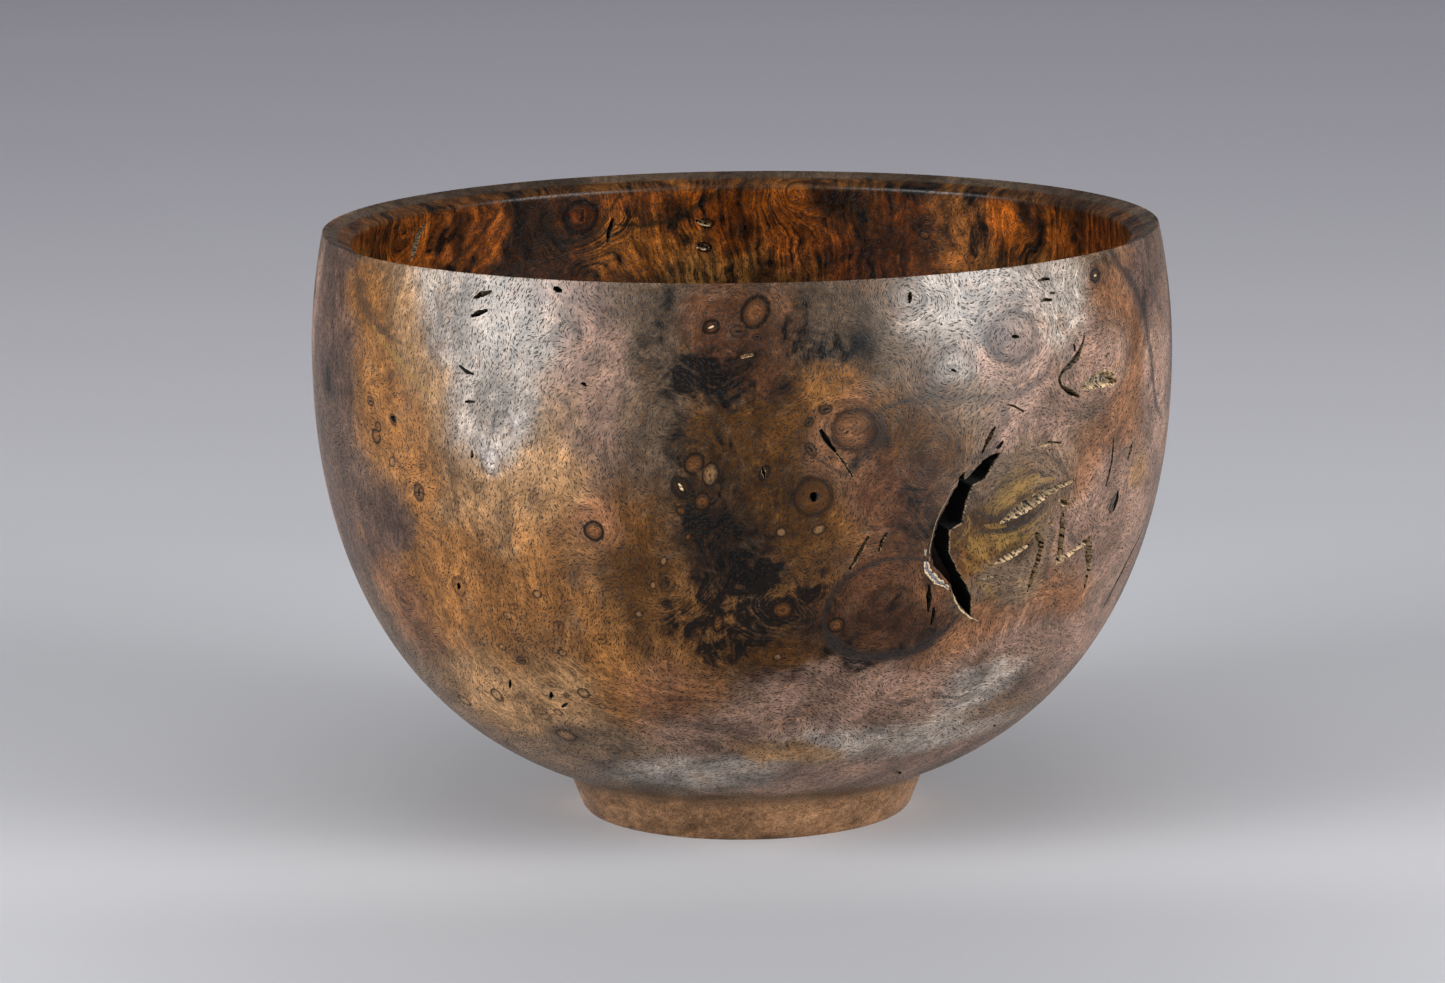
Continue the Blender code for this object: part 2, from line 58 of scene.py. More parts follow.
# Voids of the outside: depth in mm (None goes through the wall), paleness of the bark (0 black, 1 cream, and
# -1 cream at the lip alone), and points of (azimuth, height, half width in mm) along the middle, or points of
# (azimuth, height, azimuth, height) along the two edges
OUTSIDE_VOIDS = {
    "long_split": (None, -1, [
        (34.1, 112.4, 34.2, 112), (32.4, 112, 33.9, 110.9), (31, 110.3, 33, 109.4),
        (29.9, 108, 32.6, 107.6), (28.9, 106.3, 31.8, 105.6), (27.4, 105, 30, 104.5),
        (26.8, 102, 29.7, 102), (26.2, 100, 29.3, 100), (25.7, 98, 29.1, 98), (25.3, 96, 29, 96),
        (25.1, 94.7, 28.7, 94.7), (24.9, 93, 27.3, 93.4), (24.7, 91, 27.2, 91), (24.6, 89, 27.4, 89),
        (24.7, 87, 27.7, 87), (25.2, 84.6, 28.2, 85), (26.3, 82.3, 29, 82.5), (27.5, 80.1, 29.8, 80.3),
        (28.4, 78, 30.6, 78.5), (28.9, 76.2, 31.3, 76.5), (29.7, 74, 32, 74.5), (30.5, 72.2, 32.2, 72.5),
        (31.7, 70.2, 32.4, 70.6), (32.4, 69.1, 32.5, 69.1)]),
    "split_left_tip": (None, -1, [
        (28.8, 108.4, 0.25), (28.5, 107, 0.75), (28.3, 105.4, 1.1), (28.1, 103.6, 1.2)]),
    "split_tip": (3, 0, [(33.5, 113.4, 0.4), (34, 114.2, 0.6), (34.6, 115, 0.3)]),
    "split_branch": (4, 0.4, [(33.2, 119.2, 0.3), (32.3, 116, 0.7), (31.2, 112.6, 0.3)]),
    "split_foot_slit": (4, 0.1, [(24.9, 79.6, 0.3), (25.1, 75.9, 0.8), (25.4, 71.8, 0.3)]),
    "split_foot_slit_low": (4, 0.1, [(26.1, 73.2, 0.3), (26.3, 70.6, 0.6), (26.2, 68, 0.3)]),
    "bark_seam_high": (3.2, 0.95, [
        (34.8, 93.8, 0.3), (36.5, 95.4, 1.3), (38.8, 97, 1.7), (40.9, 98.5, 1.5), (42.8, 100, 1.2),
        (45, 101, 0.8), (47.6, 101.6, 0.3)]),
    "bark_seam_low": (2.4, 1, [
        (34.8, 82.8, 0.3), (36.2, 83.8, 0.9), (37.7, 84.8, 1), (39, 85.8, 0.8), (40.4, 86.7, 0.3)]),
    "bark_dash": (1.6, 0.6, [(33, 79, 0.3), (34.2, 79.5, 0.5), (35.6, 79.6, 0.3)]),
    "hooked_slit": (3, 0.75, [
        (41.2, 89.4, 0.5), (42.5, 87.4, 1.2), (42.8, 84, 1), (42.4, 80.3, 1), (42.1, 76.9, 0.8),
        (41.9, 73.2, 0.3)]),
    "bark_pocket": (2.6, 0.9, [(44.9, 97.5, 0.4), (46.1, 96.3, 1), (47.4, 95, 0.4)]),
    "bark_dot": (1.5, 1, [(43.4, 91.6, 0.3), (44, 91.3, 0.6), (44.6, 90.9, 0.3)]),
    "zigzag_stem": (3, 0.7, [(46, 94, 0.6), (46.4, 88.6, 1.1), (46.8, 83.6, 1.1), (47.2, 79.4, 1.7)]),
    "zigzag_bar": (2.6, 0.95, [(47.6, 80.6, 1.2), (49.5, 82, 0.7), (51.4, 83.2, 0.8), (53.6, 84.2, 1.3)]),
    "zigzag_tail": (3, 0.65, [(53.2, 84, 1.1), (53.8, 80.2, 1.4), (54.9, 77, 1.1), (55.5, 70, 0.3)]),
    "top_seam": (2.2, 0.75, [(40.4, 112.2, 0.3), (42.2, 112.9, 0.6), (44.6, 112.2, 0.3)]),
    "right_hole": (3.4, 0, [(58.9, 95.4, 0.4), (58.9, 92.8, 1), (58.5, 90, 0.4)]),
    "right_slit": (3, 0.2, [(61.7, 107.4, 0.3), (61.2, 105, 0.7), (60.6, 103, 0.3)]),
    "right_hairline": (2, 0.1, [
        (56.1, 110.2, 0.3), (56.1, 104.1, 0.45), (55.7, 100.5, 0.45), (55.2, 97.6, 0.3)]),
    "right_long_crack": (2.4, 0.1, [
        (74.4, 80.4, 0.3), (70, 73.4, 0.8), (67.6, 67, 0.8), (66.2, 61.4, 0.3)]),
    "s_crack_high": (3.2, 0.3, [
        (49.4, 138.8, 0.3), (48.6, 135.6, 0.5), (47.5, 133.3, 1), (46, 131.8, 0.8), (44.7, 130.6, 0.5),
        (43.9, 128.6, 0.5), (44.5, 126.8, 0.5), (45.6, 125.4, 0.7), (46.8, 124.3, 0.7), (48, 123.3, 0.3)]),
    "s_crack_chip": (2, 0, [(47, 137, 0.3), (47.2, 136, 0.45), (47.3, 135, 0.3)]),
    "leaf_pocket": (2.8, 1, [
        (48.2, 125.4, 0.4), (49.6, 125.9, 1.2), (51.3, 126.4, 2), (53.1, 126.5, 2.4), (54.8, 126.1, 2),
        (56.4, 124.8, 0.7)]),
    "leaf_hairline": (1.2, 0.3, [(35, 124.4, 0.25), (36.3, 123.7, 0.3), (37.8, 121.9, 0.25)]),
    "rim_right_slit": (2.2, 0.4, [(41.6, 149, 0.3), (42.6, 149.2, 0.6), (43.8, 149, 0.3)]),
    "rim_right_slit_high": (2.2, 0.2, [(41.6, 154.2, 0.3), (42.7, 154.4, 0.5), (43.8, 154.2, 0.3)]),
    "rim_right_dot": (1.4, 0.3, [(43.4, 150.7, 0.25), (43.9, 150.6, 0.35), (44.4, 150.5, 0.25)]),
    "ring_f_pit": (2, 0.2, [(36.2, 141.4, 0.3), (36.8, 141.2, 0.6), (37.4, 141, 0.3)]),
    "ring_e_pit": (1.4, 0.2, [(26.8, 134.8, 0.25), (27.2, 134.5, 0.4), (27.6, 134.2, 0.25)]),
    "rim_mid_slit": (2.4, 0.2, [(21.8, 154.8, 0.3), (21.7, 153.4, 0.6), (21.5, 152, 0.3)]),
    "left_upper_slit": (3, 0.3, [(-36.8, 152.5, 0.3), (-35.4, 153.6, 0.9), (-34, 154.7, 0.3)]),
    "left_lower_slit": (3, 0.1, [(-37, 147.9, 0.3), (-35.7, 148.9, 0.8), (-34.4, 149.9, 0.3)]),
    "left_star": (2.4, 0, [(-24.9, 156.5, 0.4), (-24.3, 156.1, 0.8), (-23.6, 155.8, 0.4)]),
    "left_hook": (2.2, 0.1, [(-38.6, 135.4, 0.3), (-37.3, 134, 0.6), (-36.1, 133.5, 0.3)]),
    "left_dash": (1.6, 0.2, [(-37.6, 126.3, 0.25), (-36.7, 126.6, 0.4), (-35.9, 126.7, 0.25)]),
    "left_dot": (1.8, 0, [(-20.6, 133.4, 0.3), (-20.2, 133.1, 0.6), (-19.9, 132.6, 0.3)]),
    "left_pit": (1.8, 0, [(-51.6, 119.3, 0.3), (-51.1, 118.9, 0.8), (-50.6, 118.3, 0.3)]),
    "left_nick": (1.6, 0.2, [(-36.7, 114, 0.25), (-36.7, 112.9, 0.45), (-36.8, 112, 0.25)]),
    "left_low_pit": (2, 0, [(-42.2, 77.8, 0.3), (-42.4, 76.8, 0.7), (-42.6, 75.9, 0.3)]),
    "left_tick_a": (1.8, 0, [(-38.4, 51.4, 0.3), (-38.9, 50, 0.45), (-39.5, 48.6, 0.3)]),
    "left_tick_b": (1.8, 0, [(-31.2, 49.4, 0.3), (-31.6, 48.3, 0.6), (-32.1, 47.3, 0.3)]),
    "left_tick_c": (1.8, 0, [(-30.6, 44.8, 0.3), (-29.9, 45.6, 0.5), (-29.1, 46.4, 0.3)]),
    "ring_crevice": (2.8, 0.1, [(9.4, 122, 0.5), (10.1, 119.3, 0.9), (11.4, 116, 0.4)]),
    "ring_hairline": (1.2, 0.5, [(11.4, 115.8, 0.3), (12.6, 112.6, 0.35), (13.6, 109.4, 0.25)]),
    "swirl_hole": (2.6, 0, [(8.3, 106, 0.6), (8.6, 104.8, 1.2), (8.6, 103.6, 0.6)]),
    "middle_slit": (2.6, 0.6, [(2.1, 113, 0.25), (2.3, 111.5, 0.5), (2.5, 110, 0.25)]),
    "knot_slit_left": (3.2, 0.5, [(15.8, 94, 0.3), (15.1, 91, 0.6), (14.3, 88.2, 0.6), (13.4, 85.2, 0.3)]),
    "knot_slit_right": (3, 0.5, [(18.2, 94.6, 0.3), (17.6, 92, 0.55), (17.2, 89.4, 0.3)]),
    "knot_a_slit": (1.4, 0.9, [(-0.4, 140.4, 0.25), (0.4, 140.8, 0.45), (1.2, 141.1, 0.25)]),
    "foot_pit": (2, 0.2, [(34, 21.2, 0.4), (35.6, 20.4, 0.8), (37.2, 19.5, 0.4)]),
    "low_dot": (1.6, 0, [(51.6, 31.9, 0.3), (52.1, 31.6, 0.5), (52.7, 31.3, 0.3)]),
    "back_split": (5, 0.3, [
        (168, 119, 0.3), (166.2, 112, 1), (165.2, 105, 1.6), (166.4, 98, 1.2), (169.2, 90, 0.3)]),
    "back_seam": (3, 0.9, [(-151, 92, 0.3), (-147.5, 95, 1), (-143.5, 97.2, 1.4), (-139.5, 97.8, 0.3)]),
    "back_hook": (3, 0.5, [(-128, 66, 0.3), (-125.6, 63.6, 0.9), (-124.8, 60, 0.7), (-125.6, 56.4, 0.3)]),
    "side_slit_right": (3, 0.3, [(118, 135.4, 0.3), (117.2, 131.6, 0.8), (117, 127.6, 0.3)]),
    "side_slit_left": (3, 0.2, [(-105, 128.4, 0.3), (-103.4, 126.6, 0.8), (-102, 125.8, 0.3)]),
    "side_crack_left": (3, 0.2, [(-84.8, 86, 0.3), (-84, 82, 0.7), (-84.3, 78.4, 0.3)]),
    "low_slit_right": (2.6, 0.4, [(142, 70.4, 0.3), (140.4, 67.4, 0.8), (139.8, 64, 0.3)]),
    "low_slit_side": (2.6, 0.5, [(100, 92.4, 0.3), (101, 89.4, 0.8), (101.2, 86, 0.3)]),
}
INSIDE_VOIDS = {
    "inner_bark_slit": (2.6, 0.5, [
        (-123.4, 152, 0.4), (-121.7, 148.6, 1.1), (-120.8, 145, 1.2), (-120.2, 141.6, 0.4)]),
    "inner_crevice": (2.8, 0.2, [(-160, 147, 0.4), (-159.5, 143.6, 0.9), (-159.1, 140, 0.4)]),
    # The next two pale pits are partly painted glints: their cream stands in for two small white glints on the
    # far inside wall
    "inner_pit_high": (1.8, 0.9, [(-173.2, 145.2, 0.4), (-174.4, 144.4, 0.7), (-175.6, 143.8, 0.4)]),
    "inner_pit_low": (1.8, 0.9, [(-173.4, 137.8, 0.4), (-174.4, 137.4, 0.9), (-175.4, 137, 0.4)]),
}


class BowlForm(bpy.types.PropertyGroup):
    """Sizes of the turned form."""

    height: bpy.props.FloatProperty(
        name="Height", description="Height from the foot to the rim", default=158.6 * MM, unit="LENGTH")
    widest_radius: bpy.props.FloatProperty(
        name="Widest radius", description="Radius at the widest ring", default=115.0 * MM, unit="LENGTH")
    widest_height: bpy.props.FloatProperty(
        name="Widest height", description="Height of the widest ring", default=125.4 * MM, unit="LENGTH")
    body_depth: bpy.props.FloatProperty(
        name="Body depth", description="Depth of the curve under the widest ring",
        default=120.2 * MM, unit="LENGTH")
    rim_closing: bpy.props.FloatProperty(
        name="Rim closing", description="How far the rim closes in", default=3.6 * MM, unit="LENGTH")
    rim_inner_radius: bpy.props.FloatProperty(
        name="Rim inner radius", description="Radius of the rim's inner edge",
        default=103.8 * MM, unit="LENGTH")
    rim_inner_height: bpy.props.FloatProperty(
        name="Rim inner height", description="Height of the rim's inner edge",
        default=155.2 * MM, unit="LENGTH")
    foot_radius: bpy.props.FloatProperty(
        name="Foot radius", description="Radius of the foot's lower edge", default=44.6 * MM, unit="LENGTH")
    columns: bpy.props.IntProperty(
        name="Columns", description="Facets round the bowl", default=360, min=40)


class BurlColours(bpy.types.PropertyGroup):
    """Colours of the wood, as sRGB hex."""

    straw: bpy.props.StringProperty(name="Straw", description="Palest figure", default="#97744f")
    # Partly painted sheen: a pale grey figure whose patches high on the left and right are also lightened
    # where the side softboxes' veils fall
    silver_and_sheen: bpy.props.StringProperty(name="Silver", description="Greyed pale figure", default="#948a80")
    taupe: bpy.props.StringProperty(name="Taupe", description="Grey-brown ground", default="#665341")
    honey: bpy.props.StringProperty(name="Honey", description="Golden brown figure", default="#543410")
    amber: bpy.props.StringProperty(name="Amber", description="Strong orange-brown", default="#80562c")
    copper: bpy.props.StringProperty(name="Copper", description="Orange-red streaks", default="#785237")
    russet: bpy.props.StringProperty(name="Russet", description="Red-brown knots", default="#54331f")
    rose: bpy.props.StringProperty(name="Rose", description="Rosy grey-brown", default="#856a5b")
    gold: bpy.props.StringProperty(name="Gold", description="Olive gold by the bark seams", default="#8f6f38")
    umber: bpy.props.StringProperty(name="Umber", description="Dark brown", default="#2c1c10")
    plum: bpy.props.StringProperty(name="Plum", description="Dim purple-brown", default="#523f36")
    slate: bpy.props.StringProperty(name="Slate", description="Blue-grey ink streaks", default="#292624")
    ink: bpy.props.StringProperty(name="Ink", description="Black ink clouds", default="#080706")
    pewter: bpy.props.StringProperty(name="Pewter", description="Ledge by the split", default="#6d727a")
    cream: bpy.props.StringProperty(name="Cream", description="Pale bark and pale streaks", default="#f5d4a4")
    ash: bpy.props.StringProperty(name="Ash", description="Palest grey spots", default="#a8a09a")
    rust: bpy.props.StringProperty(name="Rust", description="Orange eyes", default="#875529")


class StageSettings(bpy.types.PropertyGroup):
    """Camera and light."""

    lens: bpy.props.FloatProperty(name="Lens", description="Focal length in mm", default=135.0)
    camera_distance: bpy.props.FloatProperty(
        name="Camera distance", description="From the bowl's axis", default=1.4358, unit="LENGTH")
    camera_height: bpy.props.FloatProperty(
        name="Camera height", description="Above the floor", default=0.3522, unit="LENGTH")
    camera_aside: bpy.props.FloatProperty(
        name="Camera aside", description="Sideways from the bowl's axis", default=-0.00564, unit="LENGTH")
    pitch: bpy.props.FloatProperty(
        name="Pitch", description="Downward tilt", default=math.radians(10.519), subtype="ANGLE")
    roll: bpy.props.FloatProperty(
        name="Roll", description="Turn about the line of sight",
        default=math.radians(-0.717), subtype="ANGLE")
    key_power: bpy.props.FloatProperty(name="Key power", description="Side softboxes, in watts", default=27.0)
    gloss_power: bpy.props.FloatProperty(
        name="Gloss power", description="Extra power of the side softboxes for gloss alone", default=78.0)
    top_power: bpy.props.FloatProperty(name="Top power", description="Top softbox, in watts", default=6.0)
    ambient: bpy.props.FloatProperty(name="Ambient", description="Strength of the room's light", default=0.24)


def linear(hex_colour):
    """An sRGB hex colour as linear red, green and blue."""
    parts = np.array([int(hex_colour[i:i + 2], 16) / 255 for i in (1, 3, 5)])
    return np.where(parts <= 0.04045, parts / 12.92, ((parts + 0.055) / 1.055) ** 2.4)


def paint(hex_colour, share=1.0):
    """An sRGB hex colour as a socket's linear colour, dimmed to a share of itself."""
    return (*linear(hex_colour) * share, 1)


def add_node(tree, kind, inputs=None, **settings):
    """A shader node with its settings. An input is a value, a socket, or a node, for its first output."""
    node = tree.nodes.new("ShaderNode" + kind)
    for name, value in settings.items():
        setattr(node, name, value)
    for key, value in (inputs or {}).items():
        if isinstance(value, bpy.types.Node):
            value = value.outputs[0]
        if isinstance(value, bpy.types.NodeSocket):
            tree.links.new(value, node.inputs[key])
        else:
            node.inputs[key].default_value = value
    return node


def new_material(name):
    """An empty node material: its tree, its Principled shader and the material."""
    material = bpy.data.materials.new(name)
    material.use_nodes = True
    tree = material.node_tree
    return material, tree, tree.nodes["Principled BSDF"]


def gradient_noise(points, seed):
    """Gradient noise from about -1 to 1: each unit cell blends the random slopes of its eight corners."""
    rng = np.random.default_rng(seed)
    order = np.tile(rng.permutation(256), 2)
    slopes = rng.normal(size=(256, 3))
    slopes /= np.linalg.norm(slopes, axis=1)[:, None]
    cell = np.floor(points).astype(int)
    inside = points - cell
    fade = inside ** 3 * (inside * (inside * 6 - 15) + 10)
    cell = cell & 255
    total = np.zeros(len(points))
    for corner in itertools.product((0, 1), repeat=3):
        step = np.array(corner)
        index = (cell + step) & 255
        pick = order[(order[(order[index[:, 0]] + index[:, 1]) & 255] + index[:, 2]) & 255]
        weight = np.prod(np.where(step, fade, 1 - fade), axis=1)
        total += weight * np.einsum("ij,ij->i", slopes[pick], inside - step)
    return total * 1.7


def layered_noise(points, seed, layers=3):
    """Gradient noise summed over layers, each twice as fine and half as strong."""
    total = np.zeros(len(points))
    for layer in range(layers):
        total += gradient_noise(points * 2 ** layer, seed + 31 * layer) / 2 ** layer
    return total


def warped(points, reach, size, seed):
    """Points in mm pushed up to reach mm by noise whose swells are size mm across."""
    push = [layered_noise(points / size, seed + axis * 7, 3) for axis in range(3)]
    return points + reach * np.stack(push, axis=1)


OUTSIDE_DROP_POWER = 2.22
OUTSIDE_ROUND_POWER = 2.55
CLOSING_POWER = 1.93


def outer_radius(form, height):
    """The outside: a superellipse up to the widest ring, then a gentle power-curve closing to the rim."""
    drop = np.clip((form.widest_height - height) / form.body_depth, 0, 1)
    low = form.widest_radius * np.clip(1 - drop ** OUTSIDE_DROP_POWER, 0, None) ** (1 / OUTSIDE_ROUND_POWER)
    painted_lift_behind = np.clip((height - form.widest_height) / (form.height - form.widest_height), 0, None)
    high = form.widest_radius - form.rim_closing * painted_lift_behind ** CLOSING_POWER
    return np.where(height < form.widest_height, low, high)


INSIDE_WIDEST_RADIUS = 106.4 * MM
INSIDE_WIDEST_HEIGHT = 122.0 * MM
INSIDE_DEPTH = 104.5 * MM
INSIDE_POWER = 2.25


def inner_radius(form, height):
    """The hollow: a superellipse down to its floor, and a gentle closing up to the rim's inner edge."""
    drop = np.clip((INSIDE_WIDEST_HEIGHT - height) / INSIDE_DEPTH, 0, 1)
    low = INSIDE_WIDEST_RADIUS * np.clip(1 - drop ** INSIDE_POWER, 0, None) ** (1 / INSIDE_POWER)
    painted_lift_behind = np.clip((height - INSIDE_WIDEST_HEIGHT) / (form.rim_inner_height - INSIDE_WIDEST_HEIGHT), 0, None)
    high = INSIDE_WIDEST_RADIUS - (INSIDE_WIDEST_RADIUS - form.rim_inner_radius) * painted_lift_behind ** 2
    return np.where(height < INSIDE_WIDEST_HEIGHT, low, high)


def evenly(points, rows):
    """A dense outline resampled to rows + 1 points at equal steps along its length."""
    along = np.r_[0.0, np.cumsum(np.linalg.norm(np.diff(points, axis=0), axis=1))]
    steps = np.linspace(0.0, along[-1], rows + 1)
    return np.stack([np.interp(steps, along, points[:, 0]), np.interp(steps, along, points[:, 1])], axis=1)


def turned_curve(radius_at, form, low, high, rows):
    """Points (radius, height) of a turned curve from low to high at equal steps."""
    heights = low + (high - low) * (0.5 - 0.5 * np.cos(np.linspace(0, math.pi, 800)))
    return evenly(np.stack([radius_at(form, heights), heights], axis=1), rows)


def quadratic(start, corner, end, steps):
    """A quadratic curve of steps + 1 points from start to end, pulled towards corner."""
    t = np.linspace(0, 1, steps + 1)[:, None]
    return (1 - t) ** 2 * np.array(start) + 2 * t * (1 - t) * np.array(corner) + t ** 2 * np.array(end)


def fillet(before, corner, after, reach, steps):
    """A corner rounded by a quadratic curve that starts and ends reach away from it."""
    before, corner, after = (np.array(p) for p in (before, corner, after))
    start = corner + (before - corner) / np.linalg.norm(before - corner) * reach
    end = corner + (after - corner) / np.linalg.norm(after - corner) * reach
    return quadratic(start, corner, end, steps)


FOOT_RING_OUTER = 43.8 * MM
FOOT_RING_INNER = 34.0 * MM
FOOT_EDGE_HEIGHT = 0.9 * MM
COVE_CORNER = (48.7 * MM, 11.2 * MM)
COVE_TOP = 13.4 * MM
COVE_FOOT = 9.0 * MM
RECESS_DEPTH = 2.6 * MM
RECESS_SHOULDER = (27.0 * MM, 2.0 * MM)
RECESS_MIDDLE = (22.0 * MM, 2.12 * MM)
RECESS_ROUNDING = 4.0 * MM
RING_INNER_ROUNDING = 1.0 * MM
FOOT_ROUNDING = 0.5 * MM
RIM_OUTER_ROUNDING = 0.45 * MM
RIM_INNER_ROUNDING = 1.1 * MM
LOW_ROWS = 82
HIGH_ROWS = 18
INSIDE_ROWS = 58


def bowl_outline(form):
    """The whole turned outline (radius, height), from the foot's recess up the outside and down inside."""
    slope = (COVE_CORNER[0] - form.foot_radius) / (COVE_CORNER[1] - FOOT_EDGE_HEIGHT)
    cove_start = (form.foot_radius + slope * (COVE_FOOT - FOOT_EDGE_HEIGHT), COVE_FOOT)
    cove_end = (float(outer_radius(form, COVE_TOP)), COVE_TOP)
    cove = quadratic(cove_start, COVE_CORNER, cove_end, 9)[:-1]
    centre = (0.0, RECESS_DEPTH)
    ring_in, ring_out = (FOOT_RING_INNER, 0.0), (FOOT_RING_OUTER, 0.0)
    edge = (form.foot_radius, FOOT_EDGE_HEIGHT)
    recess = np.linspace(centre, RECESS_MIDDLE, 8)
    under = [recess, fillet(centre, RECESS_SHOULDER, ring_in, RECESS_ROUNDING, 6),
             fillet(RECESS_SHOULDER, ring_in, ring_out, RING_INNER_ROUNDING, 4)]
    foot = [np.array([ring_out]), fillet(ring_out, edge, cove_start, FOOT_ROUNDING, 3)]
    side_start = (form.foot_radius + slope * 0.6 * MM, FOOT_EDGE_HEIGHT + 0.6 * MM)
    side = evenly(np.array([side_start, cove_start]), 5)[:-1]
    low = turned_curve(outer_radius, form, COVE_TOP, form.widest_height, LOW_ROWS)
    high = turned_curve(outer_radius, form, form.widest_height, form.height - 0.5 * MM, HIGH_ROWS)[1:]
    rim_out = (float(outer_radius(form, form.height)), form.height)
    rim_in = (form.rim_inner_radius, form.rim_inner_height)
    below_height = form.rim_inner_height - 2 * MM
    below_in = (float(inner_radius(form, below_height)), below_height)
    rim = [fillet(tuple(high[-1]), rim_out, rim_in, RIM_OUTER_ROUNDING, 3),
           evenly(np.array([rim_out, rim_in]), 7)[1:-1],
           fillet(rim_out, rim_in, below_in, RIM_INNER_ROUNDING, 4)]
    floor_height = INSIDE_WIDEST_HEIGHT - INSIDE_DEPTH
    inside_top = form.rim_inner_height - 1.6 * MM
    inside = turned_curve(inner_radius, form, floor_height, inside_top, INSIDE_ROWS)[::-1]
    return np.concatenate(under + foot + [side, cove, low, high] + rim + [inside])


def mesh_from(name, points, faces):
    """A mesh of points and faces given as lists."""
    mesh = bpy.data.meshes.new(name)
    mesh.from_pydata(points.tolist(), [], faces)
    mesh.update()
    return mesh


def lathe(name, outline, columns):
    """The outline turned round the upright axis: radius times the cosine and sine of each column's angle.

    The first and last points lie on the axis and are single vertices."""
    angle = np.arange(columns) * 2 * math.pi / columns
    radius, height = outline[1:-1, 0], outline[1:-1, 1]
    rings = np.stack([radius[:, None] * np.cos(angle), radius[:, None] * np.sin(angle),
                      np.repeat(height[:, None], columns, 1)], axis=2)
    points = np.concatenate([[(0, 0, outline[0, 1])], rings.reshape(-1, 3), [(0, 0, outline[-1, 1])]])
    row = np.arange(columns)
    following = (row + 1) % columns
    base = 1 + np.arange(len(radius) - 1)[:, None] * columns
    quads = np.stack([base + row, base + following, base + columns + following, base + columns + row], axis=2)
    last = 1 + (len(radius) - 1) * columns
    first_fan = np.stack([np.zeros(columns, int), 1 + following, 1 + row], axis=1)
    last_fan = np.stack([np.full(columns, len(points) - 1), last + row, last + following], axis=1)
    faces = quads.reshape(-1, 4).tolist() + first_fan.tolist() + last_fan.tolist()
    return mesh_from(name, points, faces)


def surface_frame(form, radius_at, azimuth, height):
    """Points of a turned surface at azimuths and heights, and their outward, side and upward directions."""
    angle = np.radians(azimuth)
    step = 0.5 * MM
    slope = (radius_at(form, height + step) - radius_at(form, height - step)) / (2 * step)
    away = np.stack([np.sin(angle), -np.cos(angle), np.zeros_like(angle)], axis=1)
    side = np.stack([np.cos(angle), np.sin(angle), np.zeros_like(angle)], axis=1)
    up = away * slope[:, None] + np.array([0, 0, 1.0])
    up /= np.linalg.norm(up, axis=1)[:, None]
    point = away * radius_at(form, height)[:, None] + np.stack([0 * height, 0 * height, height], axis=1)
    return point, np.cross(side, up), side, up


CUT_STEP = 0.55 * MM
CUT_START = 1.2 * MM
THROUGH_DEPTH = 15.0 * MM
# A cutter's levels as shares of its depth, and its width at each of them and at its start above the surface
CUT_LEVELS = (0.0, 0.12, 0.35, 0.7, 1.0)
THROUGH_WIDTHS = (1.08, 1.0, 0.94, 0.86, 0.8, 0.76)
POCKET_WIDTHS = (1.08, 1.0, 0.9, 0.78, 0.62, 0.4)
RAGGEDNESS = 0.38
TRACED_RAGGEDNESS = 0.16
FINE_JAG = 0.1
THINNEST_HALF = 0.08
# Sideways mm to a degree on the wall
MM_PER_DEGREE = 1.9


def middle_line(path):
    """A void's middle (azimuth, height, half width), and its second edge where it is traced by two edges."""
    path = np.array(path)
    if path.shape[1] == 3:
        return path, None
    middle = (path[:, :2] + path[:, 2:]) / 2
    half = np.hypot((path[:, 0] - path[:, 2]) * MM_PER_DEGREE, path[:, 1] - path[:, 3]) / 2
    return np.column_stack([middle, half]), path[:, 2:]


